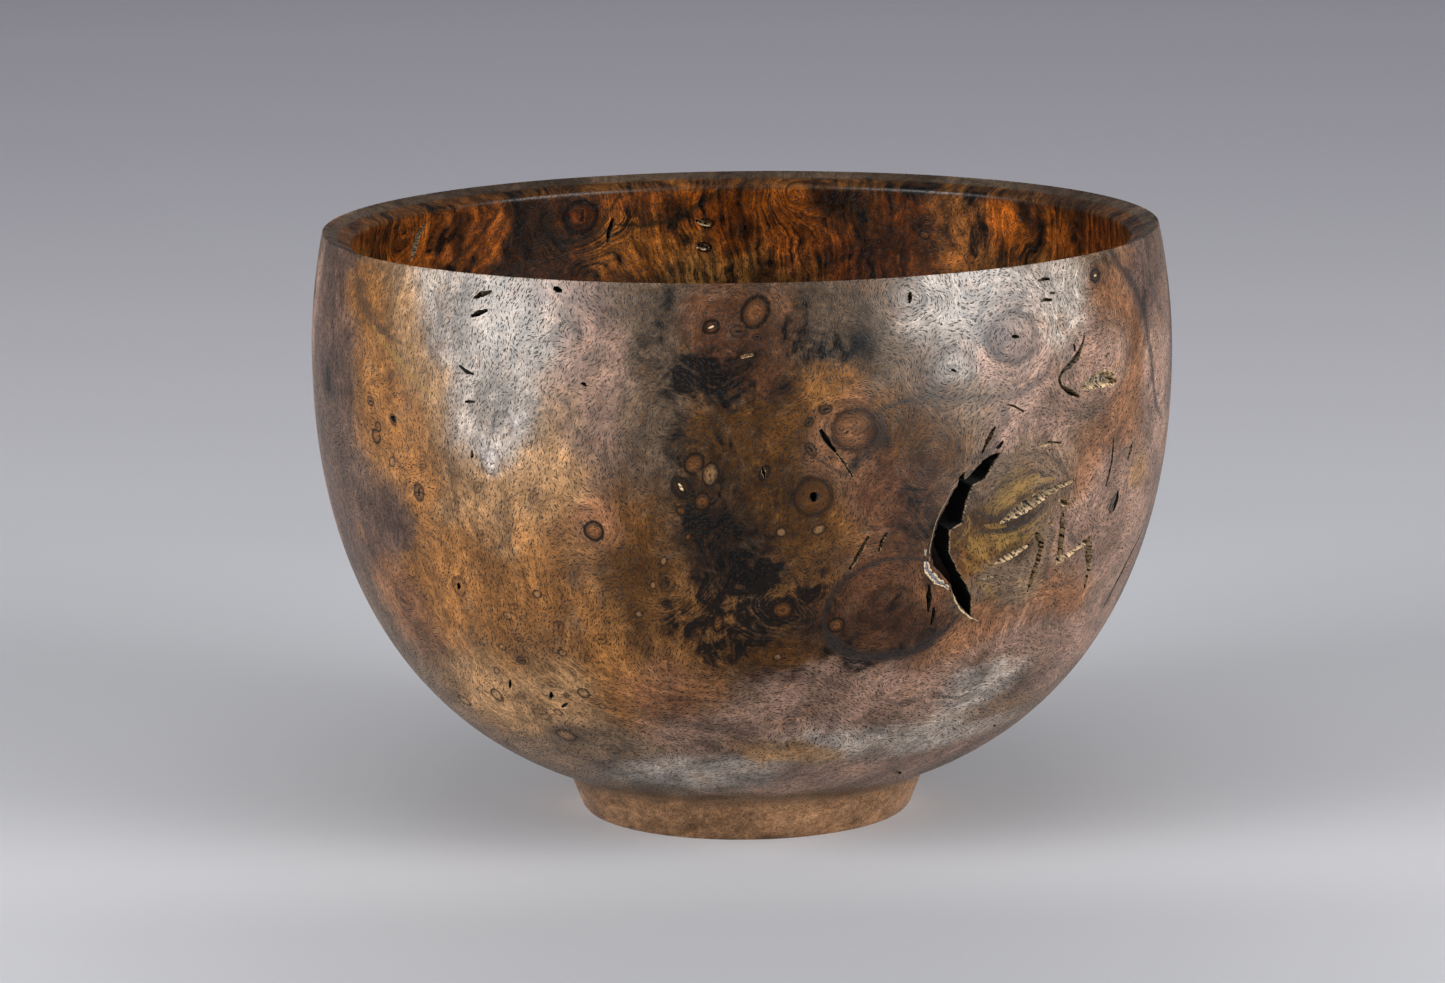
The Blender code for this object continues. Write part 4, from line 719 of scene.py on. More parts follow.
# Each eye: azimuth, height, radius in mm, length over width, tilt in degrees, kind
OUTSIDE_EYES = [
    (1.5, 151.5, 3.3, 1.35, 60, "orange"), (-4, 147.9, 1.7, 1.3, 20, "slit"),
    (-0.6, 146.8, 1.6, 1.3, 0, "ripple"), (1.7, 145.4, 0.9, 1.4, 0, "dark"),
    (0.4, 140.8, 1.5, 1.8, 12, "slit"), (-0.8, 137.8, 1.5, 1.5, 15, "ring"),
    (0.3, 143.3, 1.3, 1.4, 30, "veil"), (13.8, 121.4, 5, 1.05, 0, "hoop"),
    (12.8, 121, 1.4, 1.2, 30, "ripple"), (10.1, 127, 1.3, 1.6, 10, "dark"), (8, 123.9, 1, 1.3, 40, "dark"),
    (8.2, 117, 1.4, 1.7, -55, "dark"), (13, 133.8, 1.2, 1.5, 0, "veil"), (2.4, 111.5, 1.4, 1.7, 65, "slit"),
    (8.5, 104.9, 4.4, 1, 0, "hoop"), (4.5, 96, 1.1, 1, 0, "tan"), (9.3, 96.4, 1.3, 1.5, 30, "tan"),
    (5.6, 83.8, 1.3, 1.2, 30, "ring"), (4.8, 75.3, 2.3, 1.1, 0, "orange"), (4.8, 75.3, 1.1, 1, 0, "ring"),
    (12.2, 70.5, 1.9, 1, 0, "orange"), (4.3, 62.2, 0.9, 1, 0, "tan"), (-10.6, 76.8, 1, 1.3, -20, "dark"),
    (-10.6, 88.5, 0.9, 1.5, 70, "tan"), (-10.2, 82.2, 1.7, 1.1, 80, "ring"),
    (-12.2, 82, 0.9, 1.2, 80, "tan"), (-6.3, 113.8, 2.3, 1.2, 60, "orange"),
    (-4.3, 111.2, 2.2, 1.5, 80, "tan"), (-8, 107.8, 2.3, 1.3, -60, "slit"),
    (-5.4, 104.2, 1.9, 1.2, 70, "orange"), (-8.1, 101.8, 1, 1.4, -50, "orange"),
    (-8.4, 103.6, 0.8, 1.2, 0, "orange"), (19.5, 74.4, 5.6, 1.1, 20, "veil"),
    (20.5, 77, 2.2, 1.4, 40, "ripple"), (16.5, 72.5, 2, 1.2, 0, "veil"), (27.1, 134.6, 5.3, 1, 0, "veil"),
    (36.7, 141.2, 6.4, 1.1, 0, "veil"), (21.3, 153.4, 4.4, 1, 0, "veil"),
    (45.3, 142.4, 1.7, 1.3, 10, "veil"), (53.2, 152.9, 1.7, 1.3, 10, "slit"),
    (64.8, 97, 2.6, 1.3, 40, "veil"), (58.2, 92.2, 2, 1.5, 60, "dark"), (25, 114, 4.5, 1.1, 0, "veil"),
    (9, 47.6, 0.8, 1, 0, "ring"), (6.6, 43.3, 1.4, 1.1, 0, "ring"), (25.5, 45.8, 1.2, 1.6, 0, "veil"),
    (-31.8, 121.8, 2.9, 1, 0, "ghost"), (-33.8, 111.6, 2.9, 1, 0, "ghost"),
    (-22.8, 145, 3.4, 1.2, 0, "ghost"), (-56.3, 122.2, 1.3, 1.2, 0, "dark"),
    (-51.1, 118.8, 1.3, 1.2, -50, "dark"), (-36.2, 104.5, 1.3, 1.3, 60, "ring"),
    (-27.8, 103.5, 1.3, 1.4, 60, "ring"), (-28, 116.8, 0.8, 1.3, 20, "ring"),
    (-57.7, 89.5, 2.2, 1.2, 70, "ghost"), (-46.9, 100.8, 1.9, 1.3, 80, "dark"),
    (-55.3, 113.3, 1.7, 1.1, 0, "orange"), (-54.7, 115.9, 1.2, 1, 0, "orange"),
    (-48.6, 95, 1.7, 1.5, 80, "veil"), (-50.3, 95.5, 1.6, 1.3, 60, "veil"),
    (-19.6, 95.8, 2.3, 1, 0, "orange"), (-19.6, 95.8, 0.9, 1.3, 80, "ring"),
    (-40.4, 99, 1.2, 1.3, 50, "ring"), (-42.3, 76.8, 2.4, 1.2, 60, "ring"), (-57, 68.5, 3, 1.1, 0, "ring"),
    (-33, 72.6, 1.7, 1.3, 10, "ring"), (-34.6, 70.6, 1.2, 1.1, 0, "tan"), (-32, 70.2, 1, 1.2, 0, "ring"),
    (-26.6, 69, 1.5, 1.2, 60, "ring"), (-33.8, 64.6, 1.2, 1.1, 0, "ring"),
    (-20.5, 66.3, 1.5, 1.2, 0, "ring"), (-34.7, 57.8, 1.2, 1.1, 0, "dark"), (-25.5, 50, 1.5, 1, 0, "tan"),
    (-35.6, 41.6, 2.2, 1.2, 0, "ring"), (-33, 35.5, 2.4, 1.3, 0, "tan"), (-25.2, 32.4, 2.2, 1.3, 0, "ring"),
    (-28.8, 48.7, 0.8, 1.4, 60, "dark"), (-31.8, 43, 1.1, 1, 0, "tan"), (-21, 41.5, 1.3, 1.1, 0, "veil"),
    (-43.5, 45.5, 1.9, 1.3, 60, "tan"), (-55, 40.5, 2, 1.3, 0, "tan"), (-27, 61.5, 1, 1.2, 0, "tan"),
    (-23.2, 60.5, 0.9, 1.2, 50, "ring"), (-29.5, 56.5, 0.9, 1.2, 20, "ring"), (-37.4, 61, 1, 1.1, 0, "tan"),
    (-30.6, 51.5, 1, 1.3, 0, "ring"), (-37.8, 46.5, 1.1, 1.1, 0, "ring"), (-23, 46.5, 0.9, 1.1, 0, "tan"),
    (-40.5, 53.5, 0.9, 1.5, 50, "tan"), (-24.5, 37.5, 1.1, 1.2, 0, "ring"),
    (43.8, 106, 1.5, 1.2, 0, "veil"), (-52, 107.5, 1.2, 1.3, 40, "tan"), (-45.5, 108.5, 1, 1.2, 0, "ring"),
    (-36.6, 92, 1.1, 1.3, 60, "ring"), (-29, 77.5, 1.1, 1.2, 30, "tan"), (-38, 80, 1.2, 1.2, 0, "veil"),
    (-14.5, 74, 0.9, 1.2, 0, "tan"), (-7.3, 95, 0.7, 1.4, 60, "orange"), (-3.8, 72, 1.6, 2, 80, "orange"),
    (13.2, 48.5, 1, 1.2, 0, "veil"), (72, 100, 2, 1.3, 0, "veil"), (66, 63, 2.2, 1.3, 30, "veil"),
]
INSIDE_EYES = [
    (-154.5, 148, 4.5, 1.1, 0, "orange"), (171, 151.8, 1.8, 1.1, 80, "ghost"),
    (127, 143.6, 1.4, 1.1, 0, "ghost"), (131.6, 149.6, 1.3, 1.1, 0, "ring"),
    (142.6, 149.4, 1.3, 1.1, 0, "ring"), (124, 148.5, 1.2, 1.2, 0, "ghost"),
    # The next two slit eyes lie on those pits, and their pale pupils also paint the two small glints
    (185, 144.4, 1.5, 1.5, 10, "slit"), (185.4, 137.4, 1.5, 1.5, 10, "slit"),
    (150, 142, 1.2, 1.2, 0, "tan"),
]


GROUND_COLOURS = ["amber", "straw", "honey", "rose", "russet", "umber", "taupe", "silver_and_sheen", "copper", "plum"]


def scattered(rng, count, azimuths, heights):
    """Random azimuths and heights between limits, rounded as the listed ones are."""
    return np.round(np.stack([rng.uniform(*azimuths, count), rng.uniform(*heights, count)], axis=1), 1)


def scattered_patches(seed, count, azimuths, heights):
    """Random patches of colour for the parts that no view shows."""
    rng = np.random.default_rng(seed)
    places = scattered(rng, count, azimuths, heights)
    return [(a, h, rng.uniform(6, 17), rng.uniform(5, 13), rng.uniform(-60, 60),
             GROUND_COLOURS[rng.integers(len(GROUND_COLOURS))]) for a, h in places]


def scattered_knots(seed, count, azimuths, heights):
    """Random knots, a few of them large."""
    rng = np.random.default_rng(seed)
    return [(a, h, 2 + 10 * rng.random() ** 3) for a, h in scattered(rng, count, azimuths, heights)]


def scattered_clouds(seed, count, azimuths, heights):
    """Random ink clouds."""
    rng = np.random.default_rng(seed)
    return [(a, h, rng.uniform(3, 9), rng.uniform(3, 10), rng.uniform(0.5, 1.0))
            for a, h in scattered(rng, count, azimuths, heights)]


def scattered_eyes(seed, clusters, azimuths, heights):
    """Random eyes in clusters of three to nine."""
    rng = np.random.default_rng(seed)
    eyes = []
    kinds = list(EYE_KINDS)
    for a, h in scattered(rng, clusters, azimuths, heights):
        for _ in range(rng.integers(3, 10)):
            place = (a + rng.normal(0, 4.5), float(np.clip(h + rng.normal(0, 7.0), *heights)))
            radius = 0.8 + 1.8 * rng.random() ** 2
            eyes.append((*place, radius, rng.uniform(1, 1.6), rng.uniform(-90, 90),
                         kinds[rng.integers(len(kinds))]))
    return eyes


def placed(form, radius_at, azimuth, height):
    """Centres in mm of features on a wall, and their outward, sideways and upward directions."""
    azimuth, height = np.atleast_1d(azimuth).astype(float), np.atleast_1d(height).astype(float)
    point, outward, side, up = surface_frame(form, radius_at, azimuth, height * MM)
    return point / MM, outward, side, up


BELL_STEEPNESS = 1.2
WALL_REACH = 25.0
GROUND_SHARE = 0.02
SMALL_PATCH_AREA = 60.0
CLOUD_DARKNESS = 1.25


def bells(form, radius_at, points, features):
    """For each feature (azimuth, height, along, across, tilt) its bell over the points.

    A bell is exp of minus the squared distance in units of its two reaches, turned by its tilt, and it fades
    through the wall."""
    for azimuth, height, along, across, tilt in features:
        centre, outward, side, up = (part[0] for part in placed(form, radius_at, azimuth, height))
        turn = math.radians(tilt)
        offset = points - centre
        u = offset @ (side * math.cos(turn) + up * math.sin(turn)) / along
        v = offset @ (up * math.cos(turn) - side * math.sin(turn)) / across
        yield np.exp(-BELL_STEEPNESS * (u ** 2 + v ** 2) - (offset @ outward / WALL_REACH) ** 2)


def blended_colours(form, colours, radius_at, points, patches):
    """Patch colours averaged with their bells as weights; small patches count for more where they lie."""
    total = np.full((len(points), 3), linear(colours.taupe)) * GROUND_SHARE
    weight = np.full(len(points), GROUND_SHARE)
    for share, patch in zip(bells(form, radius_at, points, (p[:5] for p in patches)), patches):
        share = share * (SMALL_PATCH_AREA / (patch[2] * patch[3])) ** 0.6
        total += share[:, None] * linear(getattr(colours, patch[5]))
        weight += share
    return total / weight[:, None]


def cloud_density(form, radius_at, points, clouds):
    """Ink density: one minus the product of what each cloud lets through."""
    clear = np.ones(len(points))
    for share, cloud in zip(bells(form, radius_at, points, ((*c[:4], 0) for c in clouds)), clouds):
        clear *= 1 - np.clip(cloud[4] * share * CLOUD_DARKNESS, 0, 1)
    return 1 - clear


KNOT_BLEND = 3.0
KNOT_REACH = 9.0
# The fan of growth lines: the azimuth of its foot and the angle past which it turns back, in degrees, its mm
# to a degree, and in mm the radius under which it fades and the height under which it lies level
FAN_AZIMUTH = -33.0
FAN_TURNING = 110.0
FAN_PER_DEGREE = 2.0
FAN_AXIS_FADE = 70.0
FAN_LEVEL_HEIGHT = 62.0


def growth_lean(points):
    """The flow between knots, in mm: lines that fan out upwards from the front's left, and lie level below.

    It grows with the angle from the fan's foot, turns smoothly back to nothing at the far side, and fades
    towards the axis, so that it closes round the bowl and has no star on its floors."""
    turned = (np.degrees(np.arctan2(points[:, 0], -points[:, 1])) - FAN_AZIMUTH + 180) % 360 - 180
    far = np.clip((np.abs(turned) - FAN_TURNING) / (180 - FAN_TURNING), 0, 1)
    off_axis = np.clip(np.hypot(points[:, 0], points[:, 1]) / FAN_AXIS_FADE, 0, 1)
    sideways = turned * FAN_PER_DEGREE * (1 - far * far * (3 - 2 * far)) * off_axis
    height = points[:, 2]
    fan = sideways / (0.75 + 0.5 * np.clip((height - 70) / 80, 0, 1))
    level = np.clip((FAN_LEVEL_HEIGHT - height) / 30, 0, 1)
    level = level * level * (3 - 2 * level)
    return fan * (1 - 0.85 * level) - height * (0.25 + level)


def growth_value(form, radius_at, points, knots):
    """A smooth minimum of the distances in mm to all knots on bent space, plus the lean.

    Large knots reach further and all distances are capped, so that level lines ring each knot."""
    bent = warped(points, 2.6, 16.0, 3)
    total = np.full(len(points), math.exp(-KNOT_REACH / KNOT_BLEND))
    azimuth, height, radius = (np.array(column) for column in zip(*knots))
    centres, _, _, _ = placed(form, radius_at, azimuth, height)
    for centre, size in zip(centres, radius):
        total += np.exp(-(np.linalg.norm(bent - centre, axis=1) - 1.2 * size) / KNOT_BLEND)
    ringed = -KNOT_BLEND * np.log(total)
    away = np.clip((ringed + 4) / (KNOT_REACH + 2), 0, 1)
    return ringed * 1.3 + growth_lean(bent) * (0.25 + 0.5 * away)


def growth_and_grain(form, radius_at, points, knots):
    """The growth value and the unit direction of its level line, from its change to one side and upward."""
    azimuth = np.degrees(np.arctan2(points[:, 0], -points[:, 1]))
    _, _, side, up = surface_frame(form, radius_at, azimuth, points[:, 2] * MM)
    here = growth_value(form, radius_at, points, knots)
    step = 0.6
    to_side = growth_value(form, radius_at, points + side * step, knots) - here
    upward = growth_value(form, radius_at, points + up * step, knots) - here
    grain = up * to_side[:, None] - side * upward[:, None]
    return here, grain / np.maximum(np.linalg.norm(grain, axis=1), 1e-9)[:, None]


def smooth_path(path, steps):
    """A Catmull-Rom curve through the rows of path, steps points to each span."""
    path = np.array(path, float)
    padded = np.concatenate([2 * path[:1] - path[1:2], path, 2 * path[-1:] - path[-2:-1]])
    fine = np.linspace(0, len(path) - 1, steps * (len(path) - 1) + 1)
    i = np.minimum(fine.astype(int), len(path) - 2)
    t = (fine - i)[:, None]
    a, b, c, d = (padded[i + k] for k in range(4))
    square = 2 * a - 5 * b + 4 * c - d
    cube = 3 * b - a - 3 * c + d
    return 0.5 * (2 * b + (c - a) * t + square * t ** 2 + cube * t ** 3)


LINE_REACH = 6.0
EYE_REACH = 3.2
# A line's strength fades past this distance from its end, over the second one, in mm
LINE_END = 1.4
LINE_END_FADE = 2.0


def stroke_places(form, radius_at, lines, centres, corners, face_of_corner, chosen):
    """Offset across the nearest ink line in mm, its half width and its darkness at each corner.

    Every face keeps to the line point nearest its centre, so the offset runs straight across it."""
    best = np.full(len(centres), LINE_REACH)
    base, across_way, along_way = (np.zeros((len(centres), 3)) for _ in range(3))
    width, darkness = np.ones(len(centres)), np.zeros(len(centres))
    for dark, path in lines:
        azimuth, height, half = smooth_path(path, 12).T
        points, outward, _, _ = placed(form, radius_at, azimuth, height)
        travel = np.gradient(points, axis=0)
        travel /= np.linalg.norm(travel, axis=1)[:, None]
        across = np.cross(outward, travel)
        low, high = points.min(0) - LINE_REACH, points.max(0) + LINE_REACH
        index = np.flatnonzero(chosen & np.all((centres > low) & (centres < high), axis=1))
        gaps = np.linalg.norm(centres[index][:, None] - points[None], axis=2) - half
        pick = gaps.argmin(1)
        gap = gaps[np.arange(len(index)), pick]
        closer = gap < best[index]
        index, pick = index[closer], pick[closer]
        best[index] = gap[closer]
        base[index], across_way[index], along_way[index] = points[pick], across[pick], travel[pick]
        width[index], darkness[index] = np.maximum(half[pick], 0.15), dark
    offset = corners - base[face_of_corner]
    across = np.einsum("ij,ij->i", offset, across_way[face_of_corner])
    past = np.abs(np.einsum("ij,ij->i", offset, along_way[face_of_corner])) - LINE_END
    strength = darkness[face_of_corner] * np.clip(1 - past / LINE_END_FADE, 0, 1)
    return np.stack([across, width[face_of_corner], strength], axis=1)


def eye_places(form, radius_at, eyes, centres, corners, face_of_corner, chosen):
    """Place within the nearest eye, in units of its two radii, and the eye's look, at each corner."""
    best = np.full(len(centres), EYE_REACH)
    base, long_way, short_way = (np.zeros((len(centres), 3)) for _ in range(3))
    look = np.zeros((len(centres), 3))
    for azimuth, height, radius, length, tilt, kind in eyes:
        centre, outward, side, up = (part[0] for part in placed(form, radius_at, azimuth, height))
        turn = math.radians(tilt)
        long = (side * math.cos(turn) + up * math.sin(turn)) / (radius * math.sqrt(length))
        short = (up * math.cos(turn) - side * math.sin(turn)) / (radius / math.sqrt(length))
        index = np.flatnonzero(chosen & np.all(np.abs(centres - centre) < EYE_REACH * radius + 2, axis=1))
        offset = centres[index] - centre
        gap = np.hypot(offset @ long, offset @ short)
        closer = gap < best[index]
        index = index[closer]
        best[index] = gap[closer]
        base[index], long_way[index], short_way[index], look[index] = centre, long, short, EYE_KINDS[kind]
    offset = corners - base[face_of_corner]
    u = np.einsum("ij,ij->i", offset, long_way[face_of_corner])
    v = np.einsum("ij,ij->i", offset, short_way[face_of_corner])
    seen = (best < EYE_REACH)[face_of_corner].astype(float)
    return np.stack([u, v, seen], axis=1), look[face_of_corner]


VOID_SPACING = 17.3
POINTS_AT_ONCE = 500


def void_places(form, points):
    """Distance along the nearest void and depth under the turned surface, in mm, and how pale its bark is."""
    along, pale, samples, walls = [], [], [], []
    for voids, radius_at in ((OUTSIDE_VOIDS, outer_radius), (INSIDE_VOIDS, inner_radius)):
        for number, (_, paleness, path) in enumerate(voids.values()):
            azimuth, height, _ = smooth_path(middle_line(path)[0], 8).T
            centres, _, _, _ = placed(form, radius_at, azimuth, height)
            run = np.r_[0.0, np.cumsum(np.linalg.norm(np.diff(centres, axis=0), axis=1))]
            along.append(run + VOID_SPACING * number)
            pale.append(np.full(len(run), paleness))
            samples.append(centres)
            walls.append(np.full(len(run), radius_at is outer_radius))
    along, pale, samples, walls = (np.concatenate(part) for part in (along, pale, samples, walls))
    blocks = np.array_split(points, max(len(points) // POINTS_AT_ONCE, 1))
    nearest = np.concatenate([((samples[None] - block[:, None]) ** 2).sum(2).argmin(1) for block in blocks])
    radius = np.hypot(points[:, 0], points[:, 1])
    height = points[:, 2] * MM
    outside_depth = outer_radius(form, height) / MM - radius
    inside_depth = radius - inner_radius(form, height) / MM
    depth = np.where(walls[nearest], outside_depth, inside_depth)
    return np.stack([along[nearest], np.clip(depth, 0, None), pale[nearest]], axis=1)


def write_attribute(mesh, name, kind, domain, values):
    """Stores an array as a named attribute."""
    attribute = mesh.attributes.new(name, kind, domain)
    field = {"FLOAT": "value", "FLOAT_VECTOR": "vector", "FLOAT_COLOR": "color"}[kind]
    attribute.data.foreach_set(field, np.ascontiguousarray(values, dtype=np.float32).ravel())


def read_array(collection, field, width, kind=np.float32):
    """An attribute of a mesh collection as an array."""
    values = np.empty(len(collection) * width, dtype=kind)
    collection.foreach_get(field, values)
    return values.reshape(-1, width) if width > 1 else values


# The camera sees azimuths -80 to 80 outside and the upper inside wall at the back. The rest is made like them
HIDDEN_OUTSIDE = (82.0, 278.0)
HIDDEN_INSIDE = (-85.0, 95.0)


def figure_the_wood(form, colours, mesh):
    """Works out the figure over the bowl's surface and stores it in the mesh for the wood's shader."""
    points = read_array(mesh.vertices, "co", 3) / MM
    corner_vertex = read_array(mesh.loops, "vertex_index", 1, np.int32)
    totals = read_array(mesh.polygons, "loop_total", 1, np.int32)
    centres = read_array(mesh.polygons, "center", 3) / MM
    face_of_corner = np.repeat(np.arange(len(totals)), totals)
    void_face = read_array(mesh.polygons, "material_index", 1, np.int32) == 1
    corners = points[corner_vertex]

    def inside_of(place):
        radius = np.hypot(place[:, 0], place[:, 1])
        height = place[:, 2] * MM
        middle = (outer_radius(form, height) + inner_radius(form, height)) / 2 / MM
        return (radius < middle) & (place[:, 2] > 12)

    inside, face_inside = inside_of(points), inside_of(centres)
    outside_patches = OUTSIDE_PATCHES + scattered_patches(11, 64, HIDDEN_OUTSIDE, (14, 157))
    inside_patches = (INSIDE_PATCHES + scattered_patches(12, 40, HIDDEN_INSIDE, (60, 155))
                      + scattered_patches(13, 40, (-180, 180), (20, 122)))
    outside_clouds = OUTSIDE_CLOUDS + scattered_clouds(21, 30, HIDDEN_OUTSIDE, (30, 154))
    inside_clouds = INSIDE_CLOUDS + scattered_clouds(22, 24, HIDDEN_INSIDE, (40, 152))
    outside_knots = OUTSIDE_KNOTS + scattered_knots(31, 44, HIDDEN_OUTSIDE, (20, 155))
    inside_knots = (INSIDE_KNOTS + scattered_knots(32, 24, HIDDEN_INSIDE, (40, 152))
                    + scattered_knots(33, 14, (95, 275), (25, 120)))
    outside_eyes = OUTSIDE_EYES + scattered_eyes(41, 20, HIDDEN_OUTSIDE, (24, 152))
    inside_eyes = (INSIDE_EYES + scattered_eyes(42, 14, HIDDEN_INSIDE, (40, 150))
                   + scattered_eyes(43, 8, (95, 275), (30, 118)))

    colour = np.ones((len(points), 4))
    growth, ink = np.zeros(len(points)), np.zeros(len(points))
    grain = np.zeros((len(points), 3))
    walls = ((outer_radius, ~inside, outside_patches, outside_clouds, outside_knots),
             (inner_radius, inside, inside_patches, inside_clouds, inside_knots))
    for radius_at, here, patches, clouds, knots in walls:
        own = points[here]
        swelled = warped(own, 5.0, 17.0, 51)
        colour[here, :3] = blended_colours(form, colours, radius_at, swelled, patches)
        ink[here] = cloud_density(form, radius_at, warped(own, 4.0, 11.0, 61), clouds)
        growth[here], grain[here] = growth_and_grain(form, radius_at, own, knots)
    strokes = np.zeros((len(corners), 3))
    eyes, looks = np.zeros((len(corners), 3)), np.zeros((len(corners), 3))
    marks = ((outer_radius, ~face_inside, OUTSIDE_LINES, outside_eyes),
             (inner_radius, face_inside, INSIDE_LINES, inside_eyes))
    for radius_at, here, lines, eye_list in marks:
        at_corner = (here & ~void_face)[face_of_corner]
        faces = (centres, corners, face_of_corner, here)
        strokes[at_corner] = stroke_places(form, radius_at, lines, *faces)[at_corner]
        place, look = eye_places(form, radius_at, eye_list, *faces)
        eyes[at_corner], looks[at_corner] = place[at_corner], look[at_corner]

    radius = np.hypot(points[:, 0], points[:, 1])
    rim = np.clip((points[:, 2] - form.rim_inner_height / MM + 1.5) / 1.0, 0, 1)
    rim *= np.clip((outer_radius(form, points[:, 2] * MM) / MM - 0.25 - radius) / 0.5, 0, 1)
    foot = np.clip((14.0 - points[:, 2]) / 3.0, 0, 1) * (~inside)
    write_attribute(mesh, "figure_colour", "FLOAT_COLOR", "POINT", colour)
    write_attribute(mesh, "growth", "FLOAT", "POINT", growth)
    write_attribute(mesh, "grain", "FLOAT_VECTOR", "POINT", grain)
    write_attribute(mesh, "ink_cloud", "FLOAT", "POINT", ink)
    write_attribute(mesh, "turned_part", "FLOAT_VECTOR", "POINT", np.stack([inside, rim, foot], axis=1))
    write_attribute(mesh, "stroke_place", "FLOAT_VECTOR", "CORNER", strokes)
    write_attribute(mesh, "eye_place", "FLOAT_VECTOR", "CORNER", eyes)
    write_attribute(mesh, "eye_look", "FLOAT_VECTOR", "CORNER", looks)
    void_vertices = np.unique(corner_vertex[void_face[face_of_corner]])
    void_place = np.zeros((len(points), 3))
    if len(void_vertices):
        void_place[void_vertices] = void_places(form, points[void_vertices])
    write_attribute(mesh, "void_place", "FLOAT_VECTOR", "POINT", void_place)
    return points, corner_vertex, face_of_corner, void_face, inside


def true_normals(form, mesh, points, corner_vertex, face_of_corner, void_face, inside):
    """Gives the turned walls the normals of the true curve, so that cut faces leave no dents in the gloss."""
    normals = read_array(mesh.corner_normals, "vector", 3)
    azimuth = np.degrees(np.arctan2(points[:, 0], -points[:, 1]))
    radius = np.hypot(points[:, 0], points[:, 1])
    walls = ((outer_radius, ~inside, 1.0, COVE_TOP / MM + 1, form.height / MM - 1.2),
             (inner_radius, inside, -1.0, 22.0, form.rim_inner_height / MM - 2.2))
    for radius_at, here, sign, low, high in walls:
        gap = np.abs(radius - radius_at(form, points[:, 2] * MM) / MM)
        on_wall = here & (gap < 0.03) & (points[:, 2] > low) & (points[:, 2] < high)
        _, outward, _, _ = surface_frame(form, radius_at, azimuth, points[:, 2] * MM)
        use = on_wall[corner_vertex] & ~void_face[face_of_corner]
        normals[use] = sign * outward[corner_vertex[use]]
    mesh.normals_split_custom_set(normals.tolist())


def hidden_vessels(tree, place, grain, normal, cell, half_length, half_width, kept, shift):
    """Open vessels cut by the surface: one dash in each cell of a random mosaic, laid along the grain.

    The mosaic's cells are cell mm across, a dash is an ellipsoid about the cell's point, and only cells whose
    random value is under kept have one. Gives 1 inside a dash and 0 outside."""
    moved = add_node(tree, "VectorMath", {0: place, 1: shift}, operation="ADD")
    mosaic = add_node(tree, "TexVoronoi", {"Vector": moved, "Scale": 1 / cell})
    offset = add_node(tree, "VectorMath", {0: moved, 1: mosaic.outputs["Position"]}, operation="SUBTRACT")
    aside = add_node(tree, "VectorMath", {0: normal, 1: grain}, operation="CROSS_PRODUCT")
    parts = add_node(tree, "CombineXYZ")
    for axis, way in enumerate((grain, aside, normal)):
        dot = add_node(tree, "VectorMath", {0: offset, 1: way}, operation="DOT_PRODUCT")
        tree.links.new(dot.outputs["Value"], parts.inputs[axis])
    sized = add_node(tree, "VectorMath", {0: parts, 1: (1 / half_length, 1 / half_width, 1.6 / cell)},
                     operation="MULTIPLY")
    length = add_node(tree, "VectorMath", {0: sized}, operation="LENGTH")
    soft = add_node(tree, "MapRange", {
        "Value": length.outputs["Value"], "From Min": 1.15, "From Max": 0.7}, interpolation_type="SMOOTHSTEP")
    random = add_node(tree, "SeparateXYZ", {0: mosaic.outputs["Color"]})
    gate = add_node(tree, "Math", {0: random.outputs[0], 1: kept}, operation="LESS_THAN")
    return add_node(tree, "Math", {0: soft, 1: gate}, operation="MULTIPLY")


def growth_streaks(tree, place, growth, along, across, detail):
    """Streaks along the growth lines: noise whose first axis also runs with the growth value.

    So it changes every across mm over the lines but only every along mm on them."""
    slow = add_node(tree, "VectorMath", {0: place, "Scale": 1 / along}, operation="SCALE")
    fast = add_node(tree, "Math", {0: growth, 1: 1 / across}, operation="MULTIPLY")
    fast_axis = add_node(tree, "CombineXYZ", {0: fast})
    summed = add_node(tree, "VectorMath", {0: slow, 1: fast_axis}, operation="ADD")
    return add_node(tree, "TexNoise", {"Vector": summed, "Scale": 1.0, "Detail": detail, "Roughness": 0.62})


